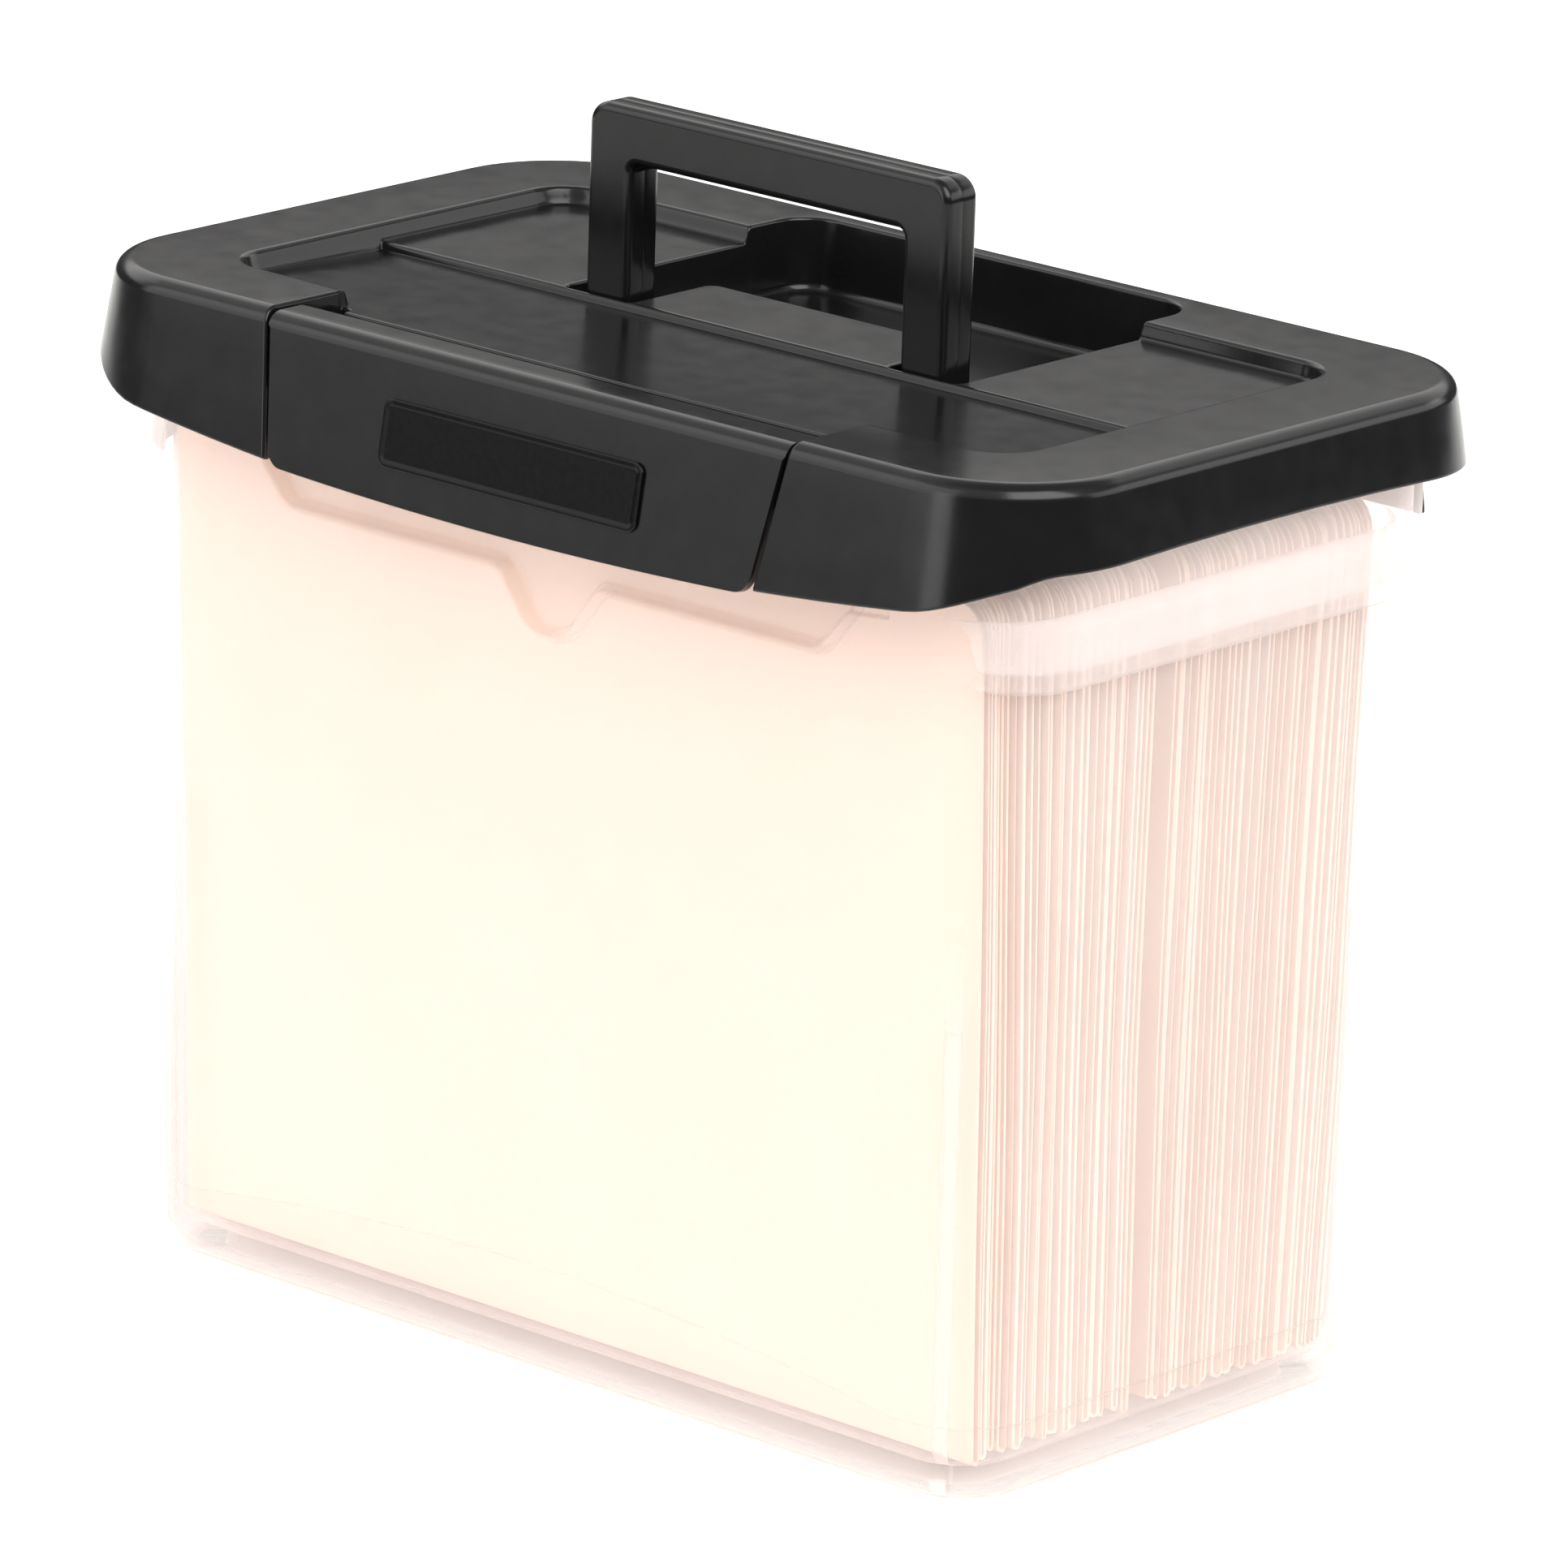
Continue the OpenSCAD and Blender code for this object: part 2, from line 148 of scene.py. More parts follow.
def depth_inside(points, path):
    """Distance from each point to a closed outline: negative inside it."""
    points = np.asarray(points, float)
    a, b = path, np.roll(path, -1, 0)
    best = np.full(len(points), 1e9)
    inside = np.zeros(len(points), bool)
    for p, q in zip(a, b):
        d = q - p
        t = np.clip(((points - p) @ d) / max(d @ d, 1e-12), 0, 1)
        best = np.minimum(best, np.linalg.norm(points - p - t[:, None] * d, axis=1))
        crosses = (p[1] > points[:, 1]) != (q[1] > points[:, 1])
        with np.errstate(divide="ignore", invalid="ignore"):
            at = p[0] + (points[:, 1] - p[1]) / (q[1] - p[1]) * d[0]
        inside ^= crosses & (points[:, 0] < at)
    return np.where(inside, -best, best)


def wall_profile(lean, depth, top, bottom):
    """How a moulded wall falls: offsets from its upper edge, and the share of the depth reached."""
    path = rounded_path([(40, 0, 0), (0, 0, top), (-lean, -depth, bottom), (-40, -depth, 0)],
                        closed=False, step=18)
    return path[1:-1, 0], path[::-1, 0], -path[::-1, 1] / depth


def ease(t):
    t = np.clip(t, 0, 1)
    return t * t * (3 - 2 * t)


sample = rounded_path([(0, 0, 0), (50, 0, 14), (50, 50, 0)], False)
print("a 90 degree corner of 14 mm becomes", len(sample) - 2, "points")

# %% [markdown]
# ## From points to pieces
# A piece is a plain mesh at the origin, with its place in its points, so that CAD can move it.
# Flat faces beside small rounded edges are shaded by face weight: large faces keep their own
# flat look and only the rounding turns the light.

# %% Helpers for meshes
MM = 0.001
SAME_POINT = 2e-6  # metres: points nearer than this are one


def new_piece(name, points_mm, faces, material, angle=34, weighted=True, closed=True):
    mesh = bpy.data.meshes.new(name)
    mesh.from_pydata([Vector(p) * MM for p in points_mm], [], faces)
    tidy = bmesh.new()
    tidy.from_mesh(mesh)
    bmesh.ops.remove_doubles(tidy, verts=tidy.verts, dist=SAME_POINT)
    bmesh.ops.dissolve_degenerate(tidy, dist=1e-6, edges=tidy.edges)
    loose = [v for v in tidy.verts if not v.link_faces]
    bmesh.ops.delete(tidy, geom=loose, context="VERTS")
    if closed:
        bmesh.ops.recalc_face_normals(tidy, faces=tidy.faces)
    tidy.to_mesh(mesh)
    tidy.free()
    piece = linked(name, mesh)
    mesh.materials.append(material)
    finish_shading(piece, angle, weighted)
    return piece


def finish_shading(piece, angle=34, weighted=True):
    mesh = piece.data
    mesh.polygons.foreach_set("use_smooth", [True] * len(mesh.polygons))
    mesh.set_sharp_from_angle(angle=math.radians(angle))
    if weighted:
        apply_modifier(piece, "WEIGHTED_NORMAL", keep_sharp=True, mode="FACE_AREA", weight=80)


def apply_modifier(piece, kind, **settings):
    """Adds one modifier, turns its result into the piece's plain mesh and removes it."""
    modifier = piece.modifiers.new(kind.lower(), kind)
    for key, value in settings.items():
        setattr(modifier, key, value)
    keep_result(piece)


def keep_result(piece):
    """What the modifiers make becomes the piece's plain mesh."""
    bpy.context.view_layer.update()
    evaluated = piece.evaluated_get(bpy.context.evaluated_depsgraph_get())
    finished = bpy.data.meshes.new_from_object(evaluated)
    piece.modifiers.clear()
    piece.data = finished
    finished.name = piece.name


def say_open_edges(label, form):
    """A closed skin has exactly two faces at each edge."""
    count = sum(1 for edge in form.edges if len(edge.link_faces) != 2)
    print(label, len(form.faces), "faces,", count, "open edges")


def grid_faces(rows, columns, wrap=False):
    """Quads between rows of points that were added one row after another."""
    last = columns if wrap else columns - 1
    return [(r * columns + c, r * columns + (c + 1) % columns,
             (r + 1) * columns + (c + 1) % columns, (r + 1) * columns + c)
            for r in range(rows - 1) for c in range(last)]


def capped(rings, count):
    """Quads between closed rings of points, with one face across each end."""
    ends = [tuple(reversed(range(count))), tuple(range((rings - 1) * count, rings * count))]
    return grid_faces(rings, count, wrap=True) + ends


def sheet_over(border, lines):
    """Triangles inside a closed border that keep every line as an edge. Returns points and faces."""
    points, edges = [], []
    for path, closed in [(border, True)] + lines:
        first = len(points)
        points += [Vector((float(x), float(y))) for x, y in path]
        count = len(path)
        last = count if closed else count - 1
        edges += [(first + k, first + (k + 1) % count) for k in range(last)]
    found, _, faces, *_ = delaunay_2d_cdt(points, edges, [], 0, 1e-4)
    found = np.array([tuple(p) for p in found])
    deep = depth_inside([found[list(f)].mean(0) for f in faces], border)
    return found, [tuple(f) for f, depth in zip(faces, deep) if depth < 0]


def rod(x0, x1, y, z, radius, edge=0.5, sides=36):
    """A round bar along X with softened ends, as points and faces."""
    cut = edge * 0.3
    steps = [(x0, 0.0), (x0, radius - edge), (x0 + cut, radius - cut), (x0 + edge, radius),
             (x1 - edge, radius), (x1 - cut, radius - cut), (x1, radius - edge), (x1, 0.0)]
    points = [(x, y + r * math.cos(a), z + r * math.sin(a)) for x, r in steps
              for a in np.linspace(0, 2 * math.pi, sides, endpoint=False)]
    return points, grid_faces(len(steps), sides, wrap=True)


def soft_block(low, high, edge):
    """A block with bevelled edges, as points and faces."""
    block = bmesh.new()
    bmesh.ops.create_cube(block, size=1.0)
    for v in block.verts:
        for k in range(3):
            v.co[k] = (low[k] + high[k]) / 2 + v.co[k] * (high[k] - low[k])
    bmesh.ops.bevel(block, geom=block.edges[:], offset=edge, segments=2, profile=0.5, affect="EDGES")
    block.verts.index_update()
    points = [tuple(v.co) for v in block.verts]
    faces = [tuple(v.index for v in f.verts) for f in block.faces]
    block.free()
    return points, faces


def add_parts(piece, parts, angle=34):
    """Adds more closed forms, given as points and faces, to a finished piece."""
    both = bmesh.new()
    both.from_mesh(piece.data)
    for points, faces in parts:
        corners = [both.verts.new(Vector(p) * MM) for p in points]
        made = [both.faces.new([corners[k] for k in f]) for f in faces]
        bmesh.ops.remove_doubles(both, verts=corners, dist=SAME_POINT)
        bmesh.ops.recalc_face_normals(both, faces=[f for f in made if f.is_valid])
    both.to_mesh(piece.data)
    both.free()
    finish_shading(piece, angle)


print("helpers ready")

# %% [markdown]
# ## Colours and finishes
# Colours are written as sRGB hex values, the way a paint chart gives them, and Blender wants
# them linear. Every pattern is sized from something real in millimetres: Object coordinates
# are metres here, so a noise scale is simply one over the grain width in metres.

# %% Helpers for materials


def linear(code):
    """An sRGB hex value such as #2b2b2d as a linear colour."""
    parts = [int(code[k:k + 2], 16) / 255 for k in (1, 3, 5)]
    return [c / 12.92 if c <= 0.04045 else ((c + 0.055) / 1.055) ** 2.4 for c in parts] + [1.0]


def add_node(tree, kind, inputs=None, **settings):
    """Adds a node, sets its settings, and fills or links its inputs by name or number."""
    node = tree.nodes.new(kind)
    for key, value in settings.items():
        setattr(node, key, value)
    for key, value in (inputs or {}).items():
        if isinstance(value, bpy.types.NodeSocket):
            tree.links.new(value, node.inputs[key])
        else:
            node.inputs[key].default_value = value
    return node


def empty_material(name):
    """A new material, its tree, and the place on the object that its patterns are read at."""
    material = bpy.data.materials.new(name)
    material.use_nodes = True
    tree = material.node_tree
    tree.nodes.clear()
    return material, tree, add_node(tree, "ShaderNodeTexCoord").outputs["Object"]


def noise(tree, place, width, detail):
    """Noise from 0 to 1, with a grain of this width in millimetres."""
    inputs = {"Vector": place, "Scale": 1000.0 / width, "Detail": detail}
    return add_node(tree, "ShaderNodeTexNoise", inputs).outputs["Fac"]


def stretched(tree, value, start, end, low, high):
    """What lies between start and end is stretched to run from low to high."""
    inputs = {"Value": value, "From Min": start, "From Max": end, "To Min": low, "To Max": high}
    return add_node(tree, "ShaderNodeMapRange", inputs).outputs["Result"]


def blend(tree, share, first, second):
    """A colour between two others, each a hex value or a socket."""
    ends = [linear(end) if isinstance(end, str) else end for end in (first, second)]
    inputs = {"Factor": share, "A": ends[0], "B": ends[1]}
    return add_node(tree, "ShaderNodeMix", inputs, data_type="RGBA").outputs["Result"]


def calculate(tree, operation, *values, **settings):
    inputs = dict(enumerate(values))
    return add_node(tree, "ShaderNodeMath", inputs, operation=operation, **settings).outputs[0]


def marked(tree, name):
    """A number that is kept on the mesh under this name."""
    return add_node(tree, "ShaderNodeAttribute", attribute_name=name).outputs["Fac"]


def bump(tree, height, distance, strength, **more):
    """A relief, its distance in metres; Normal may name a coarser relief below it."""
    inputs = {"Height": height, "Distance": distance, "Strength": strength, **more}
    return add_node(tree, "ShaderNodeBump", inputs).outputs["Normal"]


def shade(tree, inputs):
    """The surface, joined to the material's output."""
    shader = add_node(tree, "ShaderNodeBsdfPrincipled", inputs)
    add_node(tree, "ShaderNodeOutputMaterial", {"Surface": shader.outputs["BSDF"]})


print("charcoal #2b2b2d is", [round(v, 4) for v in linear("#2b2b2d")[:3]], "linear")

# %% [markdown]
# ### Moulded black polypropylene
# The lid, latch and handle are injection moulded in black polypropylene, against steel that
# was spark-eroded to a very fine grain. The eye sees a satin charcoal: reflections are there,
# but their edges are broken up by grain less than a millimetre wide. A slow waviness a few
# centimetres long, left by shrinkage, bends the highlights a little.

# %% Black polypropylene


def moulded_black_polypropylene():
    material, tree, place = empty_material("moulded_black_polypropylene")
    grain, waves = noise(tree, place, 0.7, 2.0), noise(tree, place, 45, 1.0)
    dust = noise(tree, place, 9, 4.0)
    soft = bump(tree, waves, 0.00006, 0.6)
    shade(tree, {
        "Base Color": blend(tree, grain, "#0e0e0f", "#131315"),
        "Roughness": stretched(tree, dust, 0.3, 0.7, 0.16, 0.21), "IOR": 1.49,
        "Specular IOR Level": 0.3, "Normal": bump(tree, grain, 0.000012, 0.7, Normal=soft)})
    return material


black_polypropylene = moulded_black_polypropylene()
print("made", black_polypropylene.name)

# %% [markdown]
# ### Frosted natural polypropylene
# The tub is moulded in polypropylene with no pigment. It is milky, because crystals in the
# plastic scatter light: a wall looks like thin mist, and where two walls stand one behind the
# other, as at the shoulder, the mist is thicker. Seen edge on, the path through the plastic is
# longer, so outlines and ribs turn whiter. A partly opaque white with a satin gloss does this,
# and its opacity rises towards grazing angles as the path does. A faint emission is painted
# light: the whole wall glows a little, and more in the lid's shade near its top and at its foot,
# standing in for light scattered along inside the wall.

# %% Frosted polypropylene


def frosted_polypropylene():
    material, tree, place = empty_material("frosted_polypropylene")
    cloud, grain = noise(tree, place, 60, 3.0), noise(tree, place, 1.2, 2.0)
    edge_on = add_node(tree, "ShaderNodeLayerWeight", {"Blend": 0.35}).outputs["Facing"]
    mist = stretched(tree, cloud, 0.3, 0.7, 0.15, 0.18)
    thick = calculate(tree, "MULTIPLY_ADD", marked(tree, "milk"), 0.5, mist)
    shade(tree, {
        "Base Color": blend(tree, cloud, "#dbd1d0", "#e4dbd9"), "Roughness": 0.34, "IOR": 1.49,
        "Alpha": calculate(tree, "MULTIPLY_ADD", edge_on, 0.34, thick, use_clamp=True),
        # Painted light: this emission colour and strength make the whole wall glow faintly, more in the
        # lid's shade near its top and at its foot.
        "Emission Color": linear("#fbeae2"),
        "Emission Strength": calculate(tree, "MULTIPLY_ADD", marked(tree, "glow"), 0.3, 0.08),
        "Normal": bump(tree, grain, 0.00002, 0.5)})
    return material


frosted = frosted_polypropylene()
print("made", frosted.name)

# %% [markdown]
# ### Manila card
# Folders are cut from buff card, about a third of a millimetre thick and quite matt. Fibres
# give it a faint mottle, and the cut edges are a little paler than the faces.

# %% Manila card


def manila_card():
    material, tree, place = empty_material("manila_card")
    fibres = noise(tree, place, 2.5, 5.0)
    tone = blend(tree, fibres, "#f7dbcc", "#fce7db")
    shade(tree, {
        "Base Color": blend(tree, marked(tree, "batch"), tone, "#f4d0b8"),
        "Roughness": 0.82, "IOR": 1.45, "Normal": bump(tree, fibres, 0.00005, 0.4)})
    return material


card = manila_card()
print("made", card.name)

# %% [markdown]
# ## The lid
# From above the lid is a landscape: a flat rim, a sunken floor whose front panel sinks a
# little towards a step, a deep well for the folded handle, and a bay for the latch. Such a
# shape has one height above each point, so it is made as a map. Outlines give the
# lines of the mesh, and each line is raised to the height of the land there. Overlapping
# cuts are simply applied one after another, as a mould maker would mill them.

# %% Sizes of the lid, in millimetres
LID_TOP, RIM_X, RIM_Y, RIM_CORNER, RIM_EDGE = 287.0, 177.5, 102.5, 40.0, 5.0
FLARE, LID_WALL, RECESS_X, RECESS_FRONT, RECESS_BACK = 0.165, 2.5, 143.5, -71.0, 69.0
RECESS_DEPTH, RAMP_DROP, STEP_Y, WELL_X, WELL_BACK, WELL_FLOOR = 4.7, 2.4, -9.0, 71.0, 93.0, 266.0
PLATFORM_X, PLATFORM_BACK, BAY_X, BAY_BACK, BAY_FLOOR, LIP_Y = 47.0, 25.0, 96.2, -76.0, 267.0, -97.5
SHELL, APRON_X, BAY_TAPER, SKIRT_FRONT, SKIRT_RISE, LATCH_RISE = 2.2, 142.0, 0.16, 243.0, 3.4, 2.4


def skirt_edge(x, y):
    """Height of the skirt's lower edge: a smile in front, steps at the back, arches at the ends."""
    x = abs(x)
    smile = SKIRT_FRONT + SKIRT_RISE * (x / 90) ** 2 + 6.3 * ease((x - APRON_X) / 37)
    straight = 239.5 if x < APRON_X else 262.5
    side = smile if y < 0 else straight
    arch = 265.4 - 2.9 * (y / 100) ** 2
    return side + (max(arch, side) - side) * ease((x - 168) / 9)


def bay_lean(x, z):
    """How far the edges of the latch's opening lean towards the middle, fading out along the skirt."""
    return math.copysign(BAY_TAPER * (LID_TOP - z) * (1 - ease((abs(x) - BAY_X) / 30)), x)


def land(points, under=0.0):
    """Height of the lid over each point; under > 0 gives the underside, that much lower."""
    x, y = points[:, 0], points[:, 1]

    def cut(path, profile):
        _, at, share = profile
        return np.interp(depth_inside(points, path) - under, at, share)

    slope = np.clip((y - BAY_BACK) / (STEP_Y - BAY_BACK), 0, 1) * RAMP_DROP
    _, at, share = STEP
    floor_drop = RECESS_DEPTH + slope * np.interp(y - STEP_Y, at, share)
    wall_drop = SOFT_DEPTH * cut(RECESS, SOFT_WALL)
    meet = np.clip(1 - np.abs(wall_drop - floor_drop) / SOFT_FOOT, 0, 1)
    z = LID_TOP - np.minimum(wall_drop, floor_drop) + meet ** 2 * SOFT_FOOT / 4
    floor = LID_TOP - floor_drop
    z = z + (floor - z) * cut(GATE, CUT_WALL)
    z = z + (BAY_FLOOR - z) * cut(BAY, CUT_WALL)
    z = z + (WELL_FLOOR - z) * cut(WELL, WELL_WALL)
    return z - under


SOFT_FOOT, SOFT_DEPTH = 1.6, 20.0
SOFT_WALL = wall_profile(6.8, SOFT_DEPTH, 1.7, 0.0)
FOOT_OFFSETS = np.array([-0.9, -1.2, -1.45, -1.7, -1.95, -2.2, -2.5, -2.8])
CUT_WALL = wall_profile(0.3, 16.0, 0.9, 0.6)
WELL_WALL = wall_profile(1.8, 18.0, 0.9, 2.4)
STEP = wall_profile(0.5, 2.4, 1.3, 0.5)
RECESS = rounded_path([(RECESS_X, RECESS_FRONT, 14), (RECESS_X, RECESS_BACK, 14),
                       (-RECESS_X, RECESS_BACK, 14), (-RECESS_X, RECESS_FRONT, 14)])
GATE = np.array([(BAY_X, -140), (BAY_X, -66), (-BAY_X, -66), (-BAY_X, -140)], float)
BAY_EAR = [(BAY_X, -140, 0), (BAY_X, BAY_BACK + 3.5, 1), (BAY_X - 4, BAY_BACK + 3.5, 1),
           (BAY_X - 4, BAY_BACK, 1)]
BAY = rounded_path(BAY_EAR + [(-x, y, r) for x, y, r in reversed(BAY_EAR)])
WELL_EDGE, PLATFORM_FRONT = WELL_X + 1.8, STEP_Y + 0.8
WELL = rounded_path([(WELL_EDGE, PLATFORM_FRONT, 3), (WELL_EDGE, WELL_BACK, 13),
                     (-WELL_EDGE, WELL_BACK, 13), (-WELL_EDGE, PLATFORM_FRONT, 3),
                     (-PLATFORM_X, PLATFORM_FRONT, 2), (-PLATFORM_X, PLATFORM_BACK, 4),
                     (PLATFORM_X, PLATFORM_BACK, 4), (PLATFORM_X, PLATFORM_FRONT, 2)])
print("lid outlines:", len(RECESS), len(BAY), len(WELL), "points")

# %% [markdown]
# The rim turns down into a skirt that flares outwards. It is swept round the lid from one side
# of the latch bay to the other: each station on the way has the same rounded edge, but its own
# length, because the lower edge smiles.

# %% The rim and skirt, as stations round the lid


def lid_stations():
    """Base points and outward directions, anticlockwise from the middle of the front."""
    cx, cy = RIM_X - RIM_CORNER, RIM_Y - RIM_CORNER
    gate = [round(BAY_X + d, 6) for d in CUT_WALL[0]] + [BAY_X - 0.001]
    front = sorted(set([0.0, 30.0, 60.0, 80.0, 104.0, 114.0, 126.0] + gate))
    stations = [((x, -cy), (0, -1)) for x in front]
    for (sx, sy, start) in ((1, -1, -90), (1, 1, 0), (-1, 1, 90), (-1, -1, 180)):
        step = {0: [84.4, 83.9], 90: [95.6, 96.1]}.get(start, [])
        for turn in sorted([start + k * 5 for k in range(19)] + step):
            a = math.radians(turn)
            stations.append(((sx * cx, sy * cy), (math.cos(a), math.sin(a))))
        if (sx, sy) == (1, -1):
            stations += [((cx, y), (1, 0)) for y in (-40, -15, 15, 40)]
        if (sx, sy) == (1, 1):
            stations += [((x, cy), (0, 1)) for x in (110, 70, 30, 0, -30, -70, -110)]
        if (sx, sy) == (-1, 1):
            stations += [((-cx, y), (-1, 0)) for y in (40, 15, -15, -40)]
    return stations + [((-x, -cy), (0, -1)) for x in reversed(front) if x > 0]


def skirt_rows(low, shrink=0.0):
    """Offsets from the base points and heights: the outer face down, then the inner face up."""
    def flared(z):
        return RIM_CORNER + 0.07 + (LID_TOP - RIM_EDGE - z) * FLARE - shrink
    tilt, edge = math.atan(FLARE), RIM_EDGE - shrink
    outer = [(RIM_CORNER - RIM_EDGE + edge * math.sin(a), LID_TOP - RIM_EDGE + edge * math.cos(a))
             for a in np.linspace(0, math.pi / 2 - tilt, 8)]
    drop = outer[-1][1] - low
    outer += [(flared(outer[-1][1] - drop * s), outer[-1][1] - drop * s) for s in (0.3, 0.6)]
    outer += [(flared(low + 1.0), low + 1.0), (flared(low + 0.3) - 0.15, low + 0.3),
              (flared(low) - 0.7, low)]
    wall = LID_WALL - shrink
    inside = [(flared(low) - wall + 0.4, low), (flared(low + 0.3) - wall + 0.1, low + 0.3)]
    inside += [(flared(z) - wall, z) for z in [low + s * (281 - low) for s in (0.05, 0.35, 0.65, 1.0)]]
    inside += [(RIM_CORNER - LID_WALL - s, LID_TOP - SHELL - h) for s, h in
               ((0.0, 2.6), (0.1, 2.0), (0.3, 1.4), (0.7, 0.7), (1.4, 0.2))]
    inside += [(RIM_CORNER - 4.5, LID_TOP - SHELL), (RIM_CORNER - RIM_EDGE, LID_TOP - SHELL)]
    return outer, inside


stations = lid_stations()
border = np.array([np.array(p) + np.array(n) * (RIM_CORNER - RIM_EDGE) for p, n in stations])
_, first = np.unique(np.round(border, 4), axis=0, return_index=True)
keep = sorted(first)
stations, border = [stations[k] for k in keep], border[keep]
print(len(stations), "stations round the lid")

# %% Build the lid


def lid_lines(under):
    """Every line that the land needs: each outline at each offset of its wall's profile."""
    lines = []
    soft = np.concatenate([SOFT_WALL[0][SOFT_WALL[0] > -0.9], FOOT_OFFSETS])
    for path, offsets in ((RECESS, soft), (WELL, WELL_WALL[0]), (BAY, CUT_WALL[0])):
        for offset in offsets:
            ring = grown(path, offset + under)
            if path is not BAY:
                lines.append((ring, True))
                continue
            ring = ring[1:-1]
            lines.append((np.vstack([[(ring[0][0], LIP_Y)], ring, [(ring[-1][0], LIP_Y)]]), False))
    for offset in CUT_WALL[0]:
        for side in (-1, 1):
            x = side * (BAY_X + offset + under)
            lines.append((np.array([(x, LIP_Y), (x, -66.0)]), False))
    for offset in STEP[0]:
        y = STEP_Y + offset
        lines.append((np.array([(-RECESS_X + 0.5, y), (RECESS_X - 0.5, y)]), False))
    return lines


def build_lid():
    top_xy, top_faces = sheet_over(border, lid_lines(0.0))
    points = [(x, y, z) for (x, y), z in zip(top_xy, land(top_xy))]
    faces = list(top_faces)
    low_xy, low_faces = sheet_over(border, lid_lines(SHELL))
    base = len(points)
    points += [(x, y, z) for (x, y), z in zip(low_xy, land(low_xy, SHELL))]
    faces += [tuple(base + k for k in reversed(f)) for f in low_faces]
    rim_z, under_z = land(border), land(border, SHELL)
    base, count, rows = len(points), len(stations), 0
    radius = CUT_WALL[0].max()
    for (p, n), z, u in zip(stations, rim_z, under_z):
        past = abs(p[0]) - BAY_X if n[1] < -0.99 else 99.0
        shrink = 0.0
        if 0 <= past < radius:
            shrink = radius - math.sqrt(max(0, radius ** 2 - (radius - past) ** 2))
        leans = n[1] < -0.99 and past > -1e-4
        foot = p[0] + n[0] * 44 - (bay_lean(p[0], 247.0) if leans else 0.0)
        outer, inside = skirt_rows(skirt_edge(foot, p[1] + n[1] * 44), shrink)
        row = outer + inside
        row[0], row[-1] = (row[0][0], z), (row[-1][0], u)
        if past < -1e-4:
            row = [(RIM_CORNER - RIM_EDGE, z + (u - z) * k / (len(row) - 1)) for k in range(len(row))]
        rows = len(row)
        for k, (r, h) in enumerate(row):
            lean = bay_lean(p[0], h) if leans and 0 < k < rows - 1 else 0.0
            points.append((p[0] + n[0] * r - lean, p[1] + n[1] * r, h))
    for s in range(count):
        a, b = base + s * rows, base + (s + 1) % count * rows
        faces += [(a + k, a + k + 1, b + k + 1, b + k) for k in range(rows - 1)]
        if abs(abs(stations[s][0][0]) - BAY_X) < 1e-4 and stations[s][1][1] < -0.99:
            end = a + rows - 1
            faces += [(a + k, a + k + 1, end - 1 - k, end - k) for k in range(rows // 2 - 1)]
    return points, faces


lid_points, lid_faces = build_lid()
lid = new_piece("lid_shell", lid_points, lid_faces, black_polypropylene, angle=40)
closed = bmesh.new()
closed.from_mesh(lid.data)
bmesh.ops.holes_fill(closed, edges=[e for e in closed.edges if e.is_boundary], sides=0)
closed.to_mesh(lid.data)
say_open_edges("lid:", closed)
closed.free()

# %% [markdown]
# ## The latch
# The latch closes the front of the rim. It is one thin moulding: a panel that continues the
# skirt's slope, turned over at the top into a flange with the same rounded edge as the rim. Its
# lower edge carries on the skirt's smile. A sheet of points is laid out column by column, given
# its wall with Solidify, and its cut edges are softened with Bevel.

# %% The latch's panel
LATCH_X, LATCH_TOP, LATCH_WALL, LATCH_CORNER = 94.7, 286.0, 2.5, 5.0
LATCH_PIN_Y, LATCH_PIN_Z = -93.0, 280.5


def face_y(z):
    """Where the sloping front of the lid and latch stands at a height."""
    return -RIM_Y - (LID_TOP - RIM_EDGE - z) * FLARE


def narrowed(x, z):
    """A place across the latch, drawn in because the latch narrows downwards."""
    return x * (1 - BAY_TAPER * (LID_TOP - z) / LATCH_X)


def latch_columns():
    """Places across the latch, each with the height of the lower edge there."""
    def low(x):
        return SKIRT_FRONT + LATCH_RISE * (narrowed(x, 246) / 90) ** 2
    inner = LATCH_X - LATCH_CORNER
    turn = [(inner + LATCH_CORNER * math.sin(a), low(inner) + LATCH_CORNER * (1 - math.cos(a)))
            for a in np.linspace(0, math.pi / 2, 9)]
    middle = [(x, low(x)) for x in np.linspace(-inner, inner, 33)[1:-1]]
    return [(-x, z) for x, z in reversed(turn)] + middle + turn


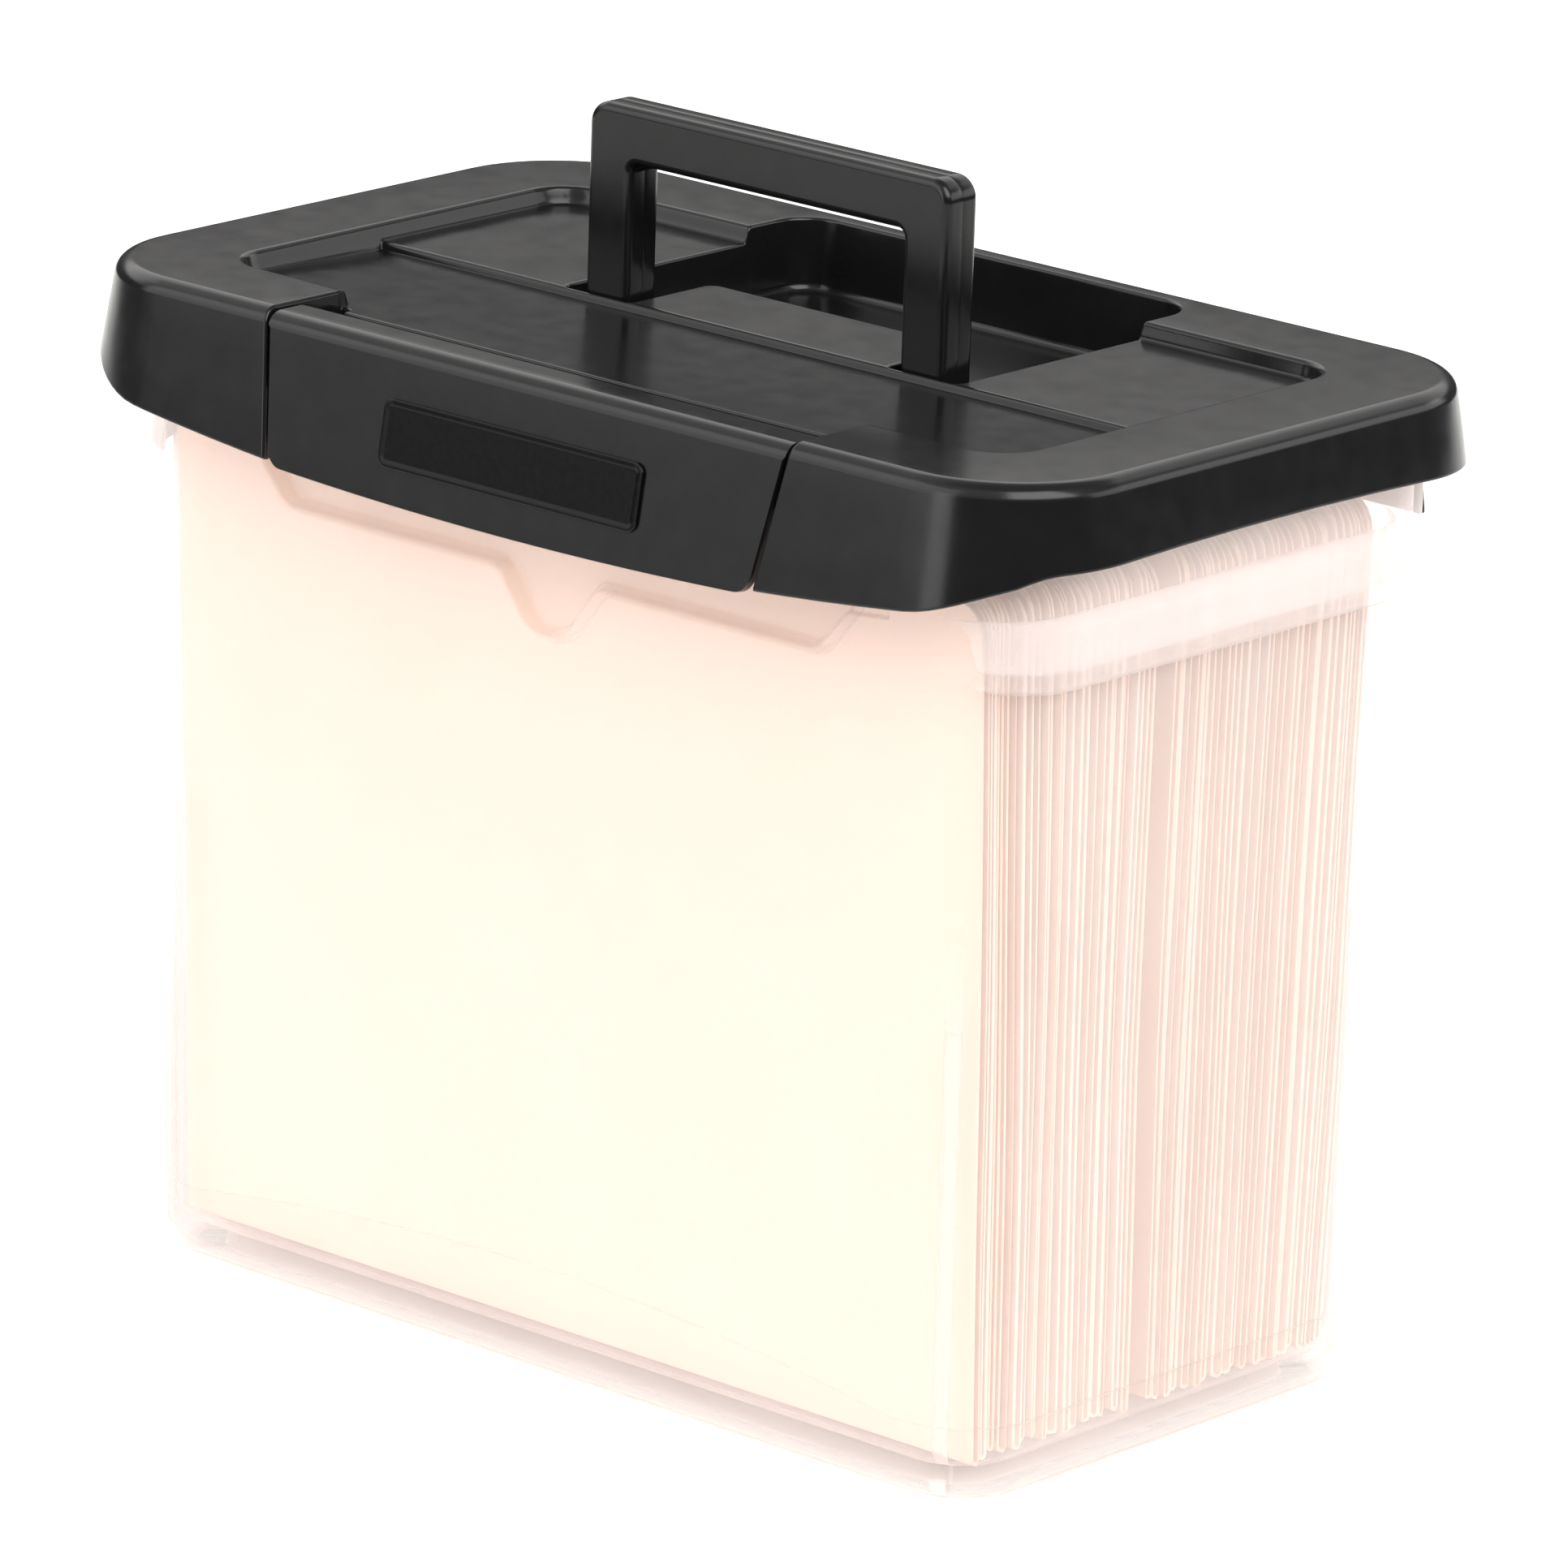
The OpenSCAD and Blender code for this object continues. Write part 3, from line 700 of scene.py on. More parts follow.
def build_latch():
    points, tilt = [], math.atan(FLARE)
    for x, low in latch_columns():
        start = LATCH_TOP - RIM_EDGE + RIM_EDGE * math.sin(tilt)
        for share in (0.0, 0.04, 0.2, 0.5, 0.8, 1.0):
            z = low + (start - low) * share
            points.append((narrowed(x, z), face_y(z) + 0.165 * share, z))
        for a in np.linspace(tilt, math.pi / 2, 8)[1:]:
            points.append((x, -RIM_Y + RIM_EDGE - RIM_EDGE * math.cos(a),
                           LATCH_TOP - RIM_EDGE + RIM_EDGE * math.sin(a)))
        points += [(x, y, LATCH_TOP) for y in (-95.0, -92.0, -89.6, -89.0)]
    columns = len(latch_columns())
    faces = grid_faces(columns, len(points) // columns)
    sheet = new_piece("latch_panel", points, faces, black_polypropylene, closed=False)
    if sheet.data.polygons[0].normal.y > 0:
        sheet.data.flip_normals()
    apply_modifier(sheet, "SOLIDIFY", thickness=LATCH_WALL / 1000, offset=-1, use_even_offset=True)
    apply_modifier(sheet, "BEVEL", width=0.0009, segments=3, limit_method="ANGLE",
                   angle_limit=math.radians(50))
    pins = [rod(-LATCH_X + 2, LATCH_X - 2, LATCH_PIN_Y, LATCH_PIN_Z, 4.0),
            rod(-97.9, 97.9, LATCH_PIN_Y, LATCH_PIN_Z, 2.0)]
    hook = soft_block((-50, -107, 245.5), (50, -99.3, 248), 0.5)
    ribs = []
    for x in (-60, 0, 60):
        side = [(-96, 281), (-101.4, 283.2), (face_y(270) + 1, 270)]
        corners = [(x + d, y, z) for d in (-1, 1) for y, z in side]
        ribs.append((corners, [(0, 1, 2), (5, 4, 3), (0, 3, 4, 1), (1, 4, 5, 2), (2, 5, 3, 0)]))
    add_parts(sheet, pins + [hook] + ribs)
    return sheet


latch = build_latch()
print("latch:", len(latch.data.polygons), "faces")

# %% [markdown]
# ### The plate on the latch
# The front carries a flat plate, pressed in a hard glossy plastic and stuck on. Here it stays
# plain. Its edge is turned over in a small radius, and that radius is what catches the light.

# %% Plate material and plate
PLATE_W, PLATE_H, PLATE_Z, PLATE_RISE = 95.0, 19.0, 262.5, 0.9


def glossy_black_styrene():
    material, tree, place = empty_material("glossy_black_styrene")
    peel, wear = noise(tree, place, 6, 2.0), noise(tree, place, 1.6, 5.0)
    shade(tree, {
        "Base Color": linear("#060607"), "Roughness": stretched(tree, wear, 0.35, 0.7, 0.13, 0.19),
        "IOR": 1.59, "Specular IOR Level": 0.12, "Normal": bump(tree, peel, 0.00001, 0.5)})
    return material


def build_plate():
    up = np.array([0, FLARE, 1]) / math.hypot(FLARE, 1)
    out = np.array([0, -1, FLARE]) / math.hypot(FLARE, 1)
    centre = np.array([0, face_y(PLATE_Z) - 0.02, PLATE_Z])
    rows = [(0.0, 0.0), (0.0, 0.5)]
    rows += [(0.4 * (1 - math.cos(a)), 0.5 + 0.4 * math.sin(a)) for a in np.linspace(0, math.pi / 2, 5)[1:]]
    rows += [(1.6, PLATE_RISE), (1.9, PLATE_RISE - 0.12), (2.3, PLATE_RISE - 0.12)]
    points, count = [], 0
    for inset, rise in rows:
        a, b, r = PLATE_W / 2 - inset, PLATE_H / 2 - inset, 3.2 - inset
        ring = rounded_path([(a, -b, r), (a, b, r), (-a, b, r), (-a, -b, r)], step=9)
        count = len(ring)
        points += [tuple(centre + np.array([u, 0, 0]) + up * v + out * rise) for u, v in ring]
    return new_piece("plate_on_latch", points, capped(len(rows), count), glossy_black_styrene())


plate = build_plate()
print("plate:", len(plate.data.polygons), "faces")

# %% [markdown]
# ## The handle
# The handle is a plain U with a square grip. Its edges are rounded by 2.5 mm, so that it doesn't
# cut into the hand, and the two halves of its mould meet half way through, where they leave a
# fine line. It is a stack of outlines from front to back, each drawn in by the rounding.

# %% The handle
HANDLE_X, HANDLE_TOP, GRIP, HANDLE_FOOT = 66.0, 336.5, 16.0, 6.5
HANDLE_Y, HANDLE_DEEP, HANDLE_PIN_Z = -0.5, 13.0, 273.5


def handle_ring(inset, y):
    low = HANDLE_PIN_Z - math.sqrt(max(0.0, HANDLE_FOOT ** 2 - (y - HANDLE_Y) ** 2))
    a, leg = HANDLE_X - inset, HANDLE_X - GRIP + inset
    top, under = HANDLE_TOP - inset, HANDLE_TOP - GRIP + inset
    path = rounded_path([(-a, low, 0), (-leg, low, 0), (-leg, under, 2.6 + inset),
                         (leg, under, 2.6 + inset), (leg, low, 0), (a, low, 0),
                         (a, top, 6.5 - inset), (-a, top, 6.5 - inset)], step=9)
    return [(x, y, z) for x, z in path]


def build_handle():
    edge, half = 2.4, HANDLE_DEEP / 2
    steps = [(edge * (1 - math.sin(a)), edge * (1 - math.cos(a)) - half)
             for a in np.linspace(0, math.pi / 2, 7)]
    steps += [(0.0, -2.0), (0.0, -0.32), (0.16, -0.14)]
    steps += [(inset, -y) for inset, y in reversed(steps)]
    points, count = [], 0
    for inset, y in steps:
        ring = handle_ring(inset, HANDLE_Y + y)
        count = len(ring)
        points += ring
    piece = new_piece("carrying_handle", points, capped(len(steps), count), black_polypropylene)
    add_parts(piece, [rod(x - 4.9, x + 4.9, HANDLE_Y, HANDLE_PIN_Z, 3.0) for x in (-68, 68)])
    return piece


handle = build_handle()
print("handle:", len(handle.data.polygons), "faces")

# %% [markdown]
# ## The tub
# The tub is one shell, 2.4 mm thick, drawn a little wider towards the top so that it leaves its
# mould. At each end the wall swells into a shoulder, and inside the shoulder the wall
# carries on upwards as a rail for hanging folders. Every part of this is seen through the
# plastic, so the inside is modelled with the same care as the outside.
#
# Seen from above, each height of the tub is a rounded rectangle. A ray is sent out from a core
# point in each direction, and the wall stands where the ray meets the widest of the rounded
# rectangles at that height. That makes a grid of stations and rows with no seams.

# %% Sizes of the tub, in millimetres
CORE_X, CORE_Y, TUB_CORNER, DRAFT, TUB_WALL, TUB_TOP = 133.0, 62.5, 25.0, 0.0152, 2.4, 283.8
TUB_FLOOR, BAND_END, BAND_FRONT, LEDGE_Z, RAIL_Z, NOTCH_Z = 8.5, 22.0, 32.0, 233.0, 246.0, 262.5
PATCH_X, PATCH_LOW, RIB_TURN, RIB_TOP, SWELL_Z, SWELL = 126.0, 200.0, 62.0, 132.5, 237.0, 11.0
CHANNEL = (167.6, 88.4, 25.6)  # the shoulder's inside: half its width and depth, and its corners
EDGE, NOTCH_X, BAND_RADIUS = 0.6, 79.2, 850.0  # EDGE is the rounding of the tub's upper edges
FRONT_X, BACK_X = (0, 21, 42, 63, 84, 105, 119, PATCH_X, 130), (119, 105, 92, 79.5, 79, 63, 42, 21)


def ray_out(start, way, half_x, half_y, radius):
    """How far a ray from a core point goes until it leaves a rounded rectangle."""
    sx, sy, nx, ny = abs(start[0]), abs(start[1]), abs(way[0]), abs(way[1])
    if ny > 1e-9 and sx + (half_y - sy) / ny * nx <= half_x - radius:
        return (half_y - sy) / ny
    if nx > 1e-9 and sy + (half_x - sx) / nx * ny <= half_y - radius:
        return (half_x - sx) / nx
    dx, dy = sx - half_x + radius, sy - half_y + radius
    b = dx * nx + dy * ny
    return -b + math.sqrt(b * b - dx * dx - dy * dy + radius * radius)


def wall_out(z):
    return TUB_CORNER + z * DRAFT


def shoulder_out(start, way, swell):
    """The shoulder's reach: swell runs from 0 at its lower crease to 1 at its full width."""
    return ray_out(start, way, 161 + 9 * swell, 81.9 + 9 * swell, 19 + 9 * swell)


def crease_turn(start, way):
    """How far round the shoulder's quarter-round underside it comes out of the wall, in radians."""
    low, high = 0.0, math.pi / 2
    if shoulder_out(start, way, 1.0) <= wall_out(SWELL_Z):
        return high
    for _ in range(30):
        middle = (low + high) / 2
        inside = shoulder_out(start, way, math.sin(middle)) < wall_out(SWELL_Z - SWELL * math.cos(middle))
        low, high = (middle, high) if inside else (low, middle)
    return high


def band_crease(x):
    """The band's upper edge sags in an arc towards the corners."""
    drop = BAND_RADIUS - math.sqrt(BAND_RADIUS ** 2 - min(abs(x), 140) ** 2)
    return max(BAND_END, BAND_FRONT - drop)


tub_stations = [((x, -CORE_Y), (0.0, -1.0)) for x in FRONT_X]
for sx, sy, start in ((1, -1, -90), (1, 1, 0), (-1, 1, 90), (-1, -1, 180)):
    rib = start + RIB_TURN if sx * sy > 0 else start + 90 - RIB_TURN
    turns = [start + k * 6 for k in range(16)] + [rib + d for d in (-7.0, -5.8, -4.8, 4.8, 5.8, 7.0)]
    turns.sort()
    turns = [t for k, t in enumerate(turns) if k == 0 or t - turns[k - 1] > 0.4]
    ways = [(math.cos(a), math.sin(a)) for a in map(math.radians, turns)]
    tub_stations += [((sx * CORE_X, sy * CORE_Y), way) for way in ways]
    if (sx, sy) == (1, -1):
        tub_stations += [((CORE_X, y), (1.0, 0.0)) for y in (-40, -20, 0, 20, 40)]
    if (sx, sy) == (1, 1):
        tub_stations += [((x, CORE_Y), (0.0, 1.0)) for x in BACK_X + (0,)]
        tub_stations += [((-x, CORE_Y), (0.0, 1.0)) for x in reversed(BACK_X)]
    if (sx, sy) == (-1, 1):
        tub_stations += [((-CORE_X, y), (-1.0, 0.0)) for y in (40, 20, 0, -20, -40)]
tub_stations += [((-x, -CORE_Y), (0.0, -1.0)) for x in FRONT_X[:0:-1]]
print(len(tub_stations), "stations round the tub; the shoulder's crease starts at",
      round(SWELL_Z - SWELL * math.cos(crease_turn((CORE_X, 0), (1, 0))), 2), "mm")

# %% Rows of the tub's wall, up the outside and down the inside


def rib_depth(start, way, z):
    """How far a corner's stiffening rib stands in from the wall."""
    turn = math.degrees(math.atan2(abs(way[1]), abs(way[0])))
    across = 1 - ease((abs(turn - RIB_TURN) - 4.8) / 1.0)
    return 1.4 * float(across) * float(1 - ease((z - RIB_TOP + 1.5) / 2.0))


def outer_rows(start, way):
    crease, turn = band_crease(start[0] + way[0] * 25), crease_turn(start, way)
    rows = [(16 + 8 * math.sin(a), 8 - 8 * math.cos(a)) for a in np.linspace(0, math.pi / 2, 6)]
    rows += [(wall_out(z) - inset, z) for inset, z in (
        (1, (8 + crease) / 2), (1, crease - 0.7), (0.9, crease - 0.25), (0.12, crease + 0.15),
        (0, crease + 0.6))]
    rows += [(wall_out(z), z) for z in (55, 90, 125, 165, PATCH_LOW)]
    begin = SWELL_Z - SWELL * math.cos(turn)
    rows += [(wall_out(z), z) for z in (PATCH_LOW + 0.7 * (begin - PATCH_LOW), begin - 0.15)]
    for a in np.linspace(turn, math.pi / 2, 9):
        z = SWELL_Z - SWELL * math.cos(a)
        rows.append((max(wall_out(z), shoulder_out(start, way, math.sin(a))), z))
    full = shoulder_out(start, way, 1.0)
    rows += [(max(wall_out(z), full), z) for z in (241.5, 246, 254, NOTCH_Z - EDGE, 272, TUB_TOP - EDGE)]
    return rows


def rim_rows(start, way):
    out = max(wall_out(TUB_TOP), shoulder_out(start, way, 1.0))
    inn = max(wall_out(TUB_TOP) - TUB_WALL, ray_out(start, way, *CHANNEL))
    top = TUB_TOP
    return [(out - 0.3, top - 0.2), (out - 0.8, top), (inn + 0.8, top), (inn + 0.3, top - 0.2)]


def inner_rows(start, way):
    channel = ray_out(start, way, *CHANNEL)
    rows = [(max(wall_out(z) - TUB_WALL, channel), z) for z in (TUB_TOP - EDGE, 272, NOTCH_Z - EDGE, 254)]
    wall = wall_out(RAIL_Z)
    reach = max(wall - TUB_WALL, channel)
    open_share = float(ease((channel - wall) / 1.5))
    rail_share = float(ease((reach - wall + TUB_WALL) / 2.0))
    ledge = RAIL_Z - (RAIL_Z - LEDGE_Z) * open_share
    lip, edge = min(wall, reach), 0.6 * open_share
    rows += [(reach, ledge + edge), (reach - edge, ledge), (lip + edge, ledge), (lip, ledge + edge),
             (lip, RAIL_Z - edge), (lip - 0.5 * rail_share, RAIL_Z),
             (wall - TUB_WALL + 0.5 * rail_share, RAIL_Z), (wall - TUB_WALL, RAIL_Z - 0.6 * rail_share)]
    rows += [(wall_out(z) - TUB_WALL, z) for z in (237, 227, PATCH_LOW, 165)]
    rows += [(wall_out(z) - TUB_WALL - rib_depth(start, way, z), z)
             for z in (RIB_TOP + 1, RIB_TOP + 0.2, RIB_TOP - 0.6, RIB_TOP - 1.6, 90, 55, 32)]
    rib = rib_depth(start, way, 9)
    rows += [(14.6 + TUB_FLOOR * DRAFT + 8 * math.sin(a) - rib * math.sin(a) ** 2,
              TUB_FLOOR + 8 - 8 * math.cos(a)) for a in np.linspace(math.pi / 2, 0, 6)]
    return rows


def under_rows(start, way):
    """The underside: a ring to stand on, and the hollow inside it."""
    ring = ray_out(start, way, 142, 71.5, 14)
    return [(ring - 1.2, 5.5), (ring - 0.3, 5.2), (ring, 4.4), (ring + 0.3, 0.6), (ring + 0.9, 0)]


def tub_column(start, way):
    """All rows of one station as points, with the notch for the lid's well cut at the back."""
    notch = way[1] > 0.99 and abs(start[0]) < NOTCH_X
    column = []
    for rows in (under_rows, outer_rows, rim_rows, inner_rows):
        for out, z in rows(start, way):
            if notch and z > NOTCH_Z - 0.7:
                z = NOTCH_Z - EDGE + max(0.0, z - TUB_TOP + EDGE)
            column.append((start[0] + way[0] * out, start[1] + way[1] * out, z))
    return column


print(len(tub_column(*tub_stations[0])), "rows in each station")

# %% [markdown]
# ### The finger recess
# The middle of the front wall steps back by 5 mm under the latch, with a round dip for a thumb,
# so that fingers can get behind the latch. This is a height map again, laid on the front
# wall: each point of the wall is pushed in by its depth inside the recess's outline.

# %% The front patch of the tub


def finger_outline(grow):
    """The recess's outline: a wide trapezoid, with a thumb dip whose sides flare out at 55 degrees."""
    low, side, radius = 228.8, math.radians(55), 12.0
    middle = 212 + radius
    corner = radius * math.sin(side) + (low - middle + radius * math.cos(side)) / math.tan(side)
    xf = corner + 6 * math.tan(side / 2)
    arcs = [(-94, low + 8, 8 + grow, 210, 270, 6), (-xf, low - 6, 6 - grow, 90, 35, 5),
            (0, middle, radius + grow, 215, 325, 20), (xf, low - 6, 6 - grow, 145, 90, 5),
            (94, low + 8, 8 + grow, 270, 330, 6)]
    points = [(109 + grow, 320), (-109 - grow, 320), (-109 - grow, 242)]
    for x, z, r, begin, end, n in arcs:
        points += [(x + r * math.cos(math.radians(a)), z + r * math.sin(math.radians(a)))
                   for a in np.linspace(begin, end, n + 1)]
    points.append((109 + grow, 242))
    return np.array([p for k, p in enumerate(points) if math.dist(p, points[k - 1]) > 0.01])


FINGER_WALL = wall_profile(1.9, 5.0, 1.3, 1.5)
FLAT_STEP = wall_profile(0.8, 2.0, 0.8, 0.6)
FLAT_OUTLINE = np.array([(-123, 242.4), (-109, 241), (109, 241), (123, 242.4), (123, 320),
                         (-123, 320)], float)
FLAT_Y, FINGER_Y = -89.7, -85.9


def front_wall(points, inner):
    """Where the front wall stands: the plain wall, the flat step under the lid, then the recess."""
    z = points[:, 1]
    y, wall = -CORE_Y - TUB_CORNER - z * DRAFT, TUB_WALL if inner else 0.0
    if inner:
        y = y + TUB_WALL
    else:
        _, at, share = FLAT_STEP
        y = y + (FLAT_Y - y) * np.interp(depth_inside(points, FLAT_OUTLINE), at, share)
    _, at, share = FINGER_WALL
    deep = FINGER_Y + wall
    return y + (deep - y) * np.interp(depth_inside(points, finger_outline(wall)), at, share)


def patch_border(rows=outer_rows):
    """Round the patch in x and z, with the same points as the stations beside and below it."""
    low = sorted((p[0], PATCH_LOW) for p, way in tub_stations if way[1] < -0.99 and abs(p[0]) <= PATCH_X)
    side = {z for _, z in rows((PATCH_X, -CORE_Y), (0.0, -1.0)) if z > PATCH_LOW}
    right = [(PATCH_X, z) for z in sorted(side)]
    high, dip, edge = TUB_TOP - EDGE, NOTCH_Z - EDGE, 101.8
    notch = [(114, high), (edge, high), (edge, 272), (edge, dip), (50, dip), (0, dip)]
    left = [(-x, z) for x, z in reversed(right + notch[:-1])]
    return np.array(low + right + notch + left), len(low) + len(right) - 1


def inside_border(path, border):
    """Keeps the runs of an outline's points that lie well inside the border, as open lines."""
    deep = depth_inside(path, border) < -0.35
    runs, run = [], []
    for point, good in zip(path, deep):
        if good:
            run.append(point)
        elif run:
            runs.append(np.array(run))
            run = []
    return [(r, False) for r in runs + ([np.array(run)] if run else []) if len(r) > 1]


def dense(path, step):
    """The same closed outline with no side longer than step."""
    out = []
    for a, b in zip(path, np.roll(path, -1, 0)):
        n = max(1, int(np.linalg.norm(b - a) / step))
        out += [a + (b - a) * k / n for k in range(n)]
    return np.array(out)


def patch_sheet(inner):
    border, _ = patch_border(inner_rows if inner else outer_rows)
    lines = []
    finger = finger_outline(TUB_WALL if inner else 0.0)
    for offset in FINGER_WALL[0]:
        lines += inside_border(dense(grown(finger, offset), 6), border)
    if not inner:
        for offset in FLAT_STEP[0]:
            lines += inside_border(dense(grown(FLAT_OUTLINE, offset), 6), border)
    flat, faces = sheet_over(border, lines)
    return [(x, y, z) for (x, z), y in zip(flat, front_wall(flat, inner))], faces


def top_end(border, corner):
    """Where the patch's upper edge comes down to its left side again."""
    return 1 + max(k for k in range(corner, len(border)) if border[k][1] == border[corner][1])


def rim_band(path):
    """Rounds the top of the front wall over, from the outer sheet to the inner one."""
    ahead = np.vstack([path[1:], path[-1:]]) - path
    behind = path - np.vstack([path[:1], path[:-1]])
    rows = []
    for k, (x, z) in enumerate(path):
        a, b = ahead[k], behind[k]
        sides = [np.array([v[1], -v[0]]) / np.linalg.norm(v) for v in (a, b) if np.linalg.norm(v) > 0]
        way = sides[0] + sides[-1]
        way = way / max(1e-9, way @ sides[0]) if k not in (0, len(path) - 1) else np.array([0.0, 1.0])
        for inner, turn in ((False, 1), (True, -1)):
            y = front_wall(np.array([[x, z]]), inner)[0]
            for inset, rise in ((0, 0), (0.3, 0.4), (0.8, EDGE))[::turn]:
                lean = DRAFT * EDGE if rise else 0
                rows.append((x + way[0] * rise, y + turn * inset - lean, z + way[1] * rise))
    return rows, grid_faces(len(path), 6)


def build_tub():
    points = [p for start, way in tub_stations for p in tub_column(start, way)]
    count, rows = len(tub_stations), len(tub_column(*tub_stations[0]))
    side = tub_column((PATCH_X, -CORE_Y), (0.0, -1.0))
    first, last = [r for r, p in enumerate(side) if p[2] == PATCH_LOW]
    patched = [way[1] < -0.99 and abs(start[0]) <= PATCH_X for start, way in tub_stations]
    faces = []
    for s in range(count):
        n = (s + 1) % count
        front = patched[s] and patched[n]
        for r in range(rows - 1):
            if not (front and first <= r < last):
                faces.append((s * rows + r, s * rows + r + 1, n * rows + r + 1, n * rows + r))
    faces.append(tuple(s * rows for s in range(count)))
    faces.append(tuple(s * rows + rows - 1 for s in reversed(range(count))))
    for inner in (False, True):
        sheet, triangles = patch_sheet(inner)
        faces += [tuple(len(points) + k for k in f) for f in triangles]
        points += sheet
    border, corner = patch_border()
    band, strips = rim_band(border[corner:top_end(border, corner)])
    faces += [tuple(len(points) + k for k in f) for f in strips]
    return points + band, faces


tub_points, tub_faces = build_tub()
tub = new_piece("tub_shell", tub_points, tub_faces, frosted, angle=32)
add_parts(tub, [soft_block((-52, -99, 250), (52, -84.9, 252.5), 0.5)], angle=32)


def glow(z):
    """Painted light: how strongly the wall glows, brightening the lid's shade near its top and the foot."""
    return float(max(ease((z - 238) / 20), 0.5 * (1 - ease((z - 3) / 6))))


def milkiness(x, y, z):
    """How much thicker the mist is: at the foot, along the rail's double wall, down the ribs."""
    foot = 1 - ease((z - 4) / 5)
    rail = ease((z - 227) / 2) * (1 - ease((z - RAIL_Z - 1) / 3)) * ease((abs(x) - 146) / 10)
    across, along = max(1e-6, abs(x) - CORE_X), max(0.0, abs(y) - CORE_Y)
    inside = math.hypot(across, along) < wall_out(z) - 1.2
    rib = 1 - ease((abs(math.degrees(math.atan2(along, across)) - RIB_TURN) - 4.8) / 1.2)
    rib = float(rib) * float(1 - ease((z - RIB_TOP) / 2)) if inside else 0.0
    return max(0.12 * float(foot), 0.3 * float(rail), 0.6 * rib)


def mark_points(piece, name, value_at):
    """Keeps a number on every point, worked out from its place."""
    mark = piece.data.attributes.new(name, "FLOAT", "POINT")
    mark.data.foreach_set("value", [value_at(v.co) for v in piece.data.vertices])


mark_points(tub, "milk", lambda place: milkiness(*(place * 1000)))
# Painted light: a mark that makes the wall glow in the lid's shade and at its foot.
mark_points(tub, "glow", lambda place: glow(place.z * 1000))
closed = bmesh.new()
closed.from_mesh(tub.data)
say_open_edges("tub:", closed)
closed.free()

# %% [markdown]
# ## The folders
# Thirty-five letter-size folders stand side by side. Each is one sheet of card, folded once:
# two leaves and a round fold that stands on the floor of the tub. The rear leaf carries a tab.
# One folder is drawn here as a blank, a closed loop of points repeated across its width. A mark
# on each point says which leaf it belongs to, so that the leaves can lean apart later.

# %% One folder and one tab, as blanks
FOLDER_W, LEAF_H, LEAF_R, CARD, LEAF_GAP = 295.0, 241.0, 10.0, 0.8, 1.5
LEAF_Y = (LEAF_GAP + CARD) / 2


def leaf_half(z):
    """Half the width of a leaf at a height: its upper corners are round."""
    over = max(0.0, z - LEAF_H + LEAF_R)
    return FOLDER_W / 2 - LEAF_R + math.sqrt(max(0.0, LEAF_R ** 2 - over ** 2))


def folder_blank():
    fold, inside = LEAF_GAP / 2 + CARD, LEAF_GAP / 2
    heights = [14, 30, 50, 75, 100, 130, 160, 190, 215, 231, 234.5, 237.5, 239.6, LEAF_H]

    def skin(half):
        """One side of the card: down a leaf, round the fold and up the other leaf."""
        turns = [math.radians(a) for a in (180, 225, 270, 315, 360)]
        bend = [(half * math.cos(a), fold + half * math.sin(a)) for a in turns]
        return [(-half, z) for z in reversed(heights)] + bend + [(half, z) for z in heights]

    outer, across = skin(fold), (-1, -0.93, -0.7, -0.35, 0, 0.35, 0.7, 0.93, 1)
    loop = outer + skin(inside)[::-1]
    points = [(u * leaf_half(z), y, z) for u in across for y, z in loop]
    n = len(loop)
    faces = grid_faces(len(across), n, wrap=True)
    for first, turn in ((0, 1), ((len(across) - 1) * n, -1)):
        last = first + n - 1
        faces += [(first + k, first + k + 1, last - 1 - k, last - k)[::turn] for k in range(len(outer) - 1)]
    return new_piece("folder_blank", points, faces, card, weighted=False)


def tab_blank():
    low, high = LEAF_H - 0.2, LEAF_H + 8
    ring = rounded_path([(-43, low, 0), (43, low, 0), (41.5, high, 4), (-41.5, high, 4)])
    n = len(ring)
    points = [(x, y, z) for y in (-CARD / 2, CARD / 2) for x, z in ring]
    faces = grid_faces(2, n, wrap=True) + [tuple(range(n)), tuple(range(2 * n - 1, n - 1, -1))]
    return new_piece("tab_blank", points, faces, card, weighted=False)


folder_form, tab_form = folder_blank(), tab_blank()
mark_points(folder_form, "leaf", lambda place: max(-1.0, min(1.0, place.y * 1000 / LEAF_Y)))
mark_points(tab_form, "leaf", lambda place: 1.0)
print("blank folder:", len(folder_form.data.polygons), "faces")

# %% [markdown]
# ### Thirty-five folders from one
# Folders repeat, so Geometry Nodes place them: a line of points, one for each folder, with a
# wider slot after the sixteenth, a lean that grows towards both ends of the row, and a folder
# and a tab on each point. Real card is never quite flat. Leaves drift into groups with wider
# gaps between, so after the copies are made real a slow noise pushes every leaf to and fro. It
# reads each leaf's own place in the row, and it is gentle enough that no leaf passes the next.

# %% The folder tree, in metres
LOOSE_X, LIFTED, TAB_FIRST, TAB_STEP = 0.0012, 0.0022, -0.0925, 0.092
DRIFT_X, DRIFT_Z, RAGGED, RAGGED_BY = 0.16, 0.2, 0.0021, 0.0022


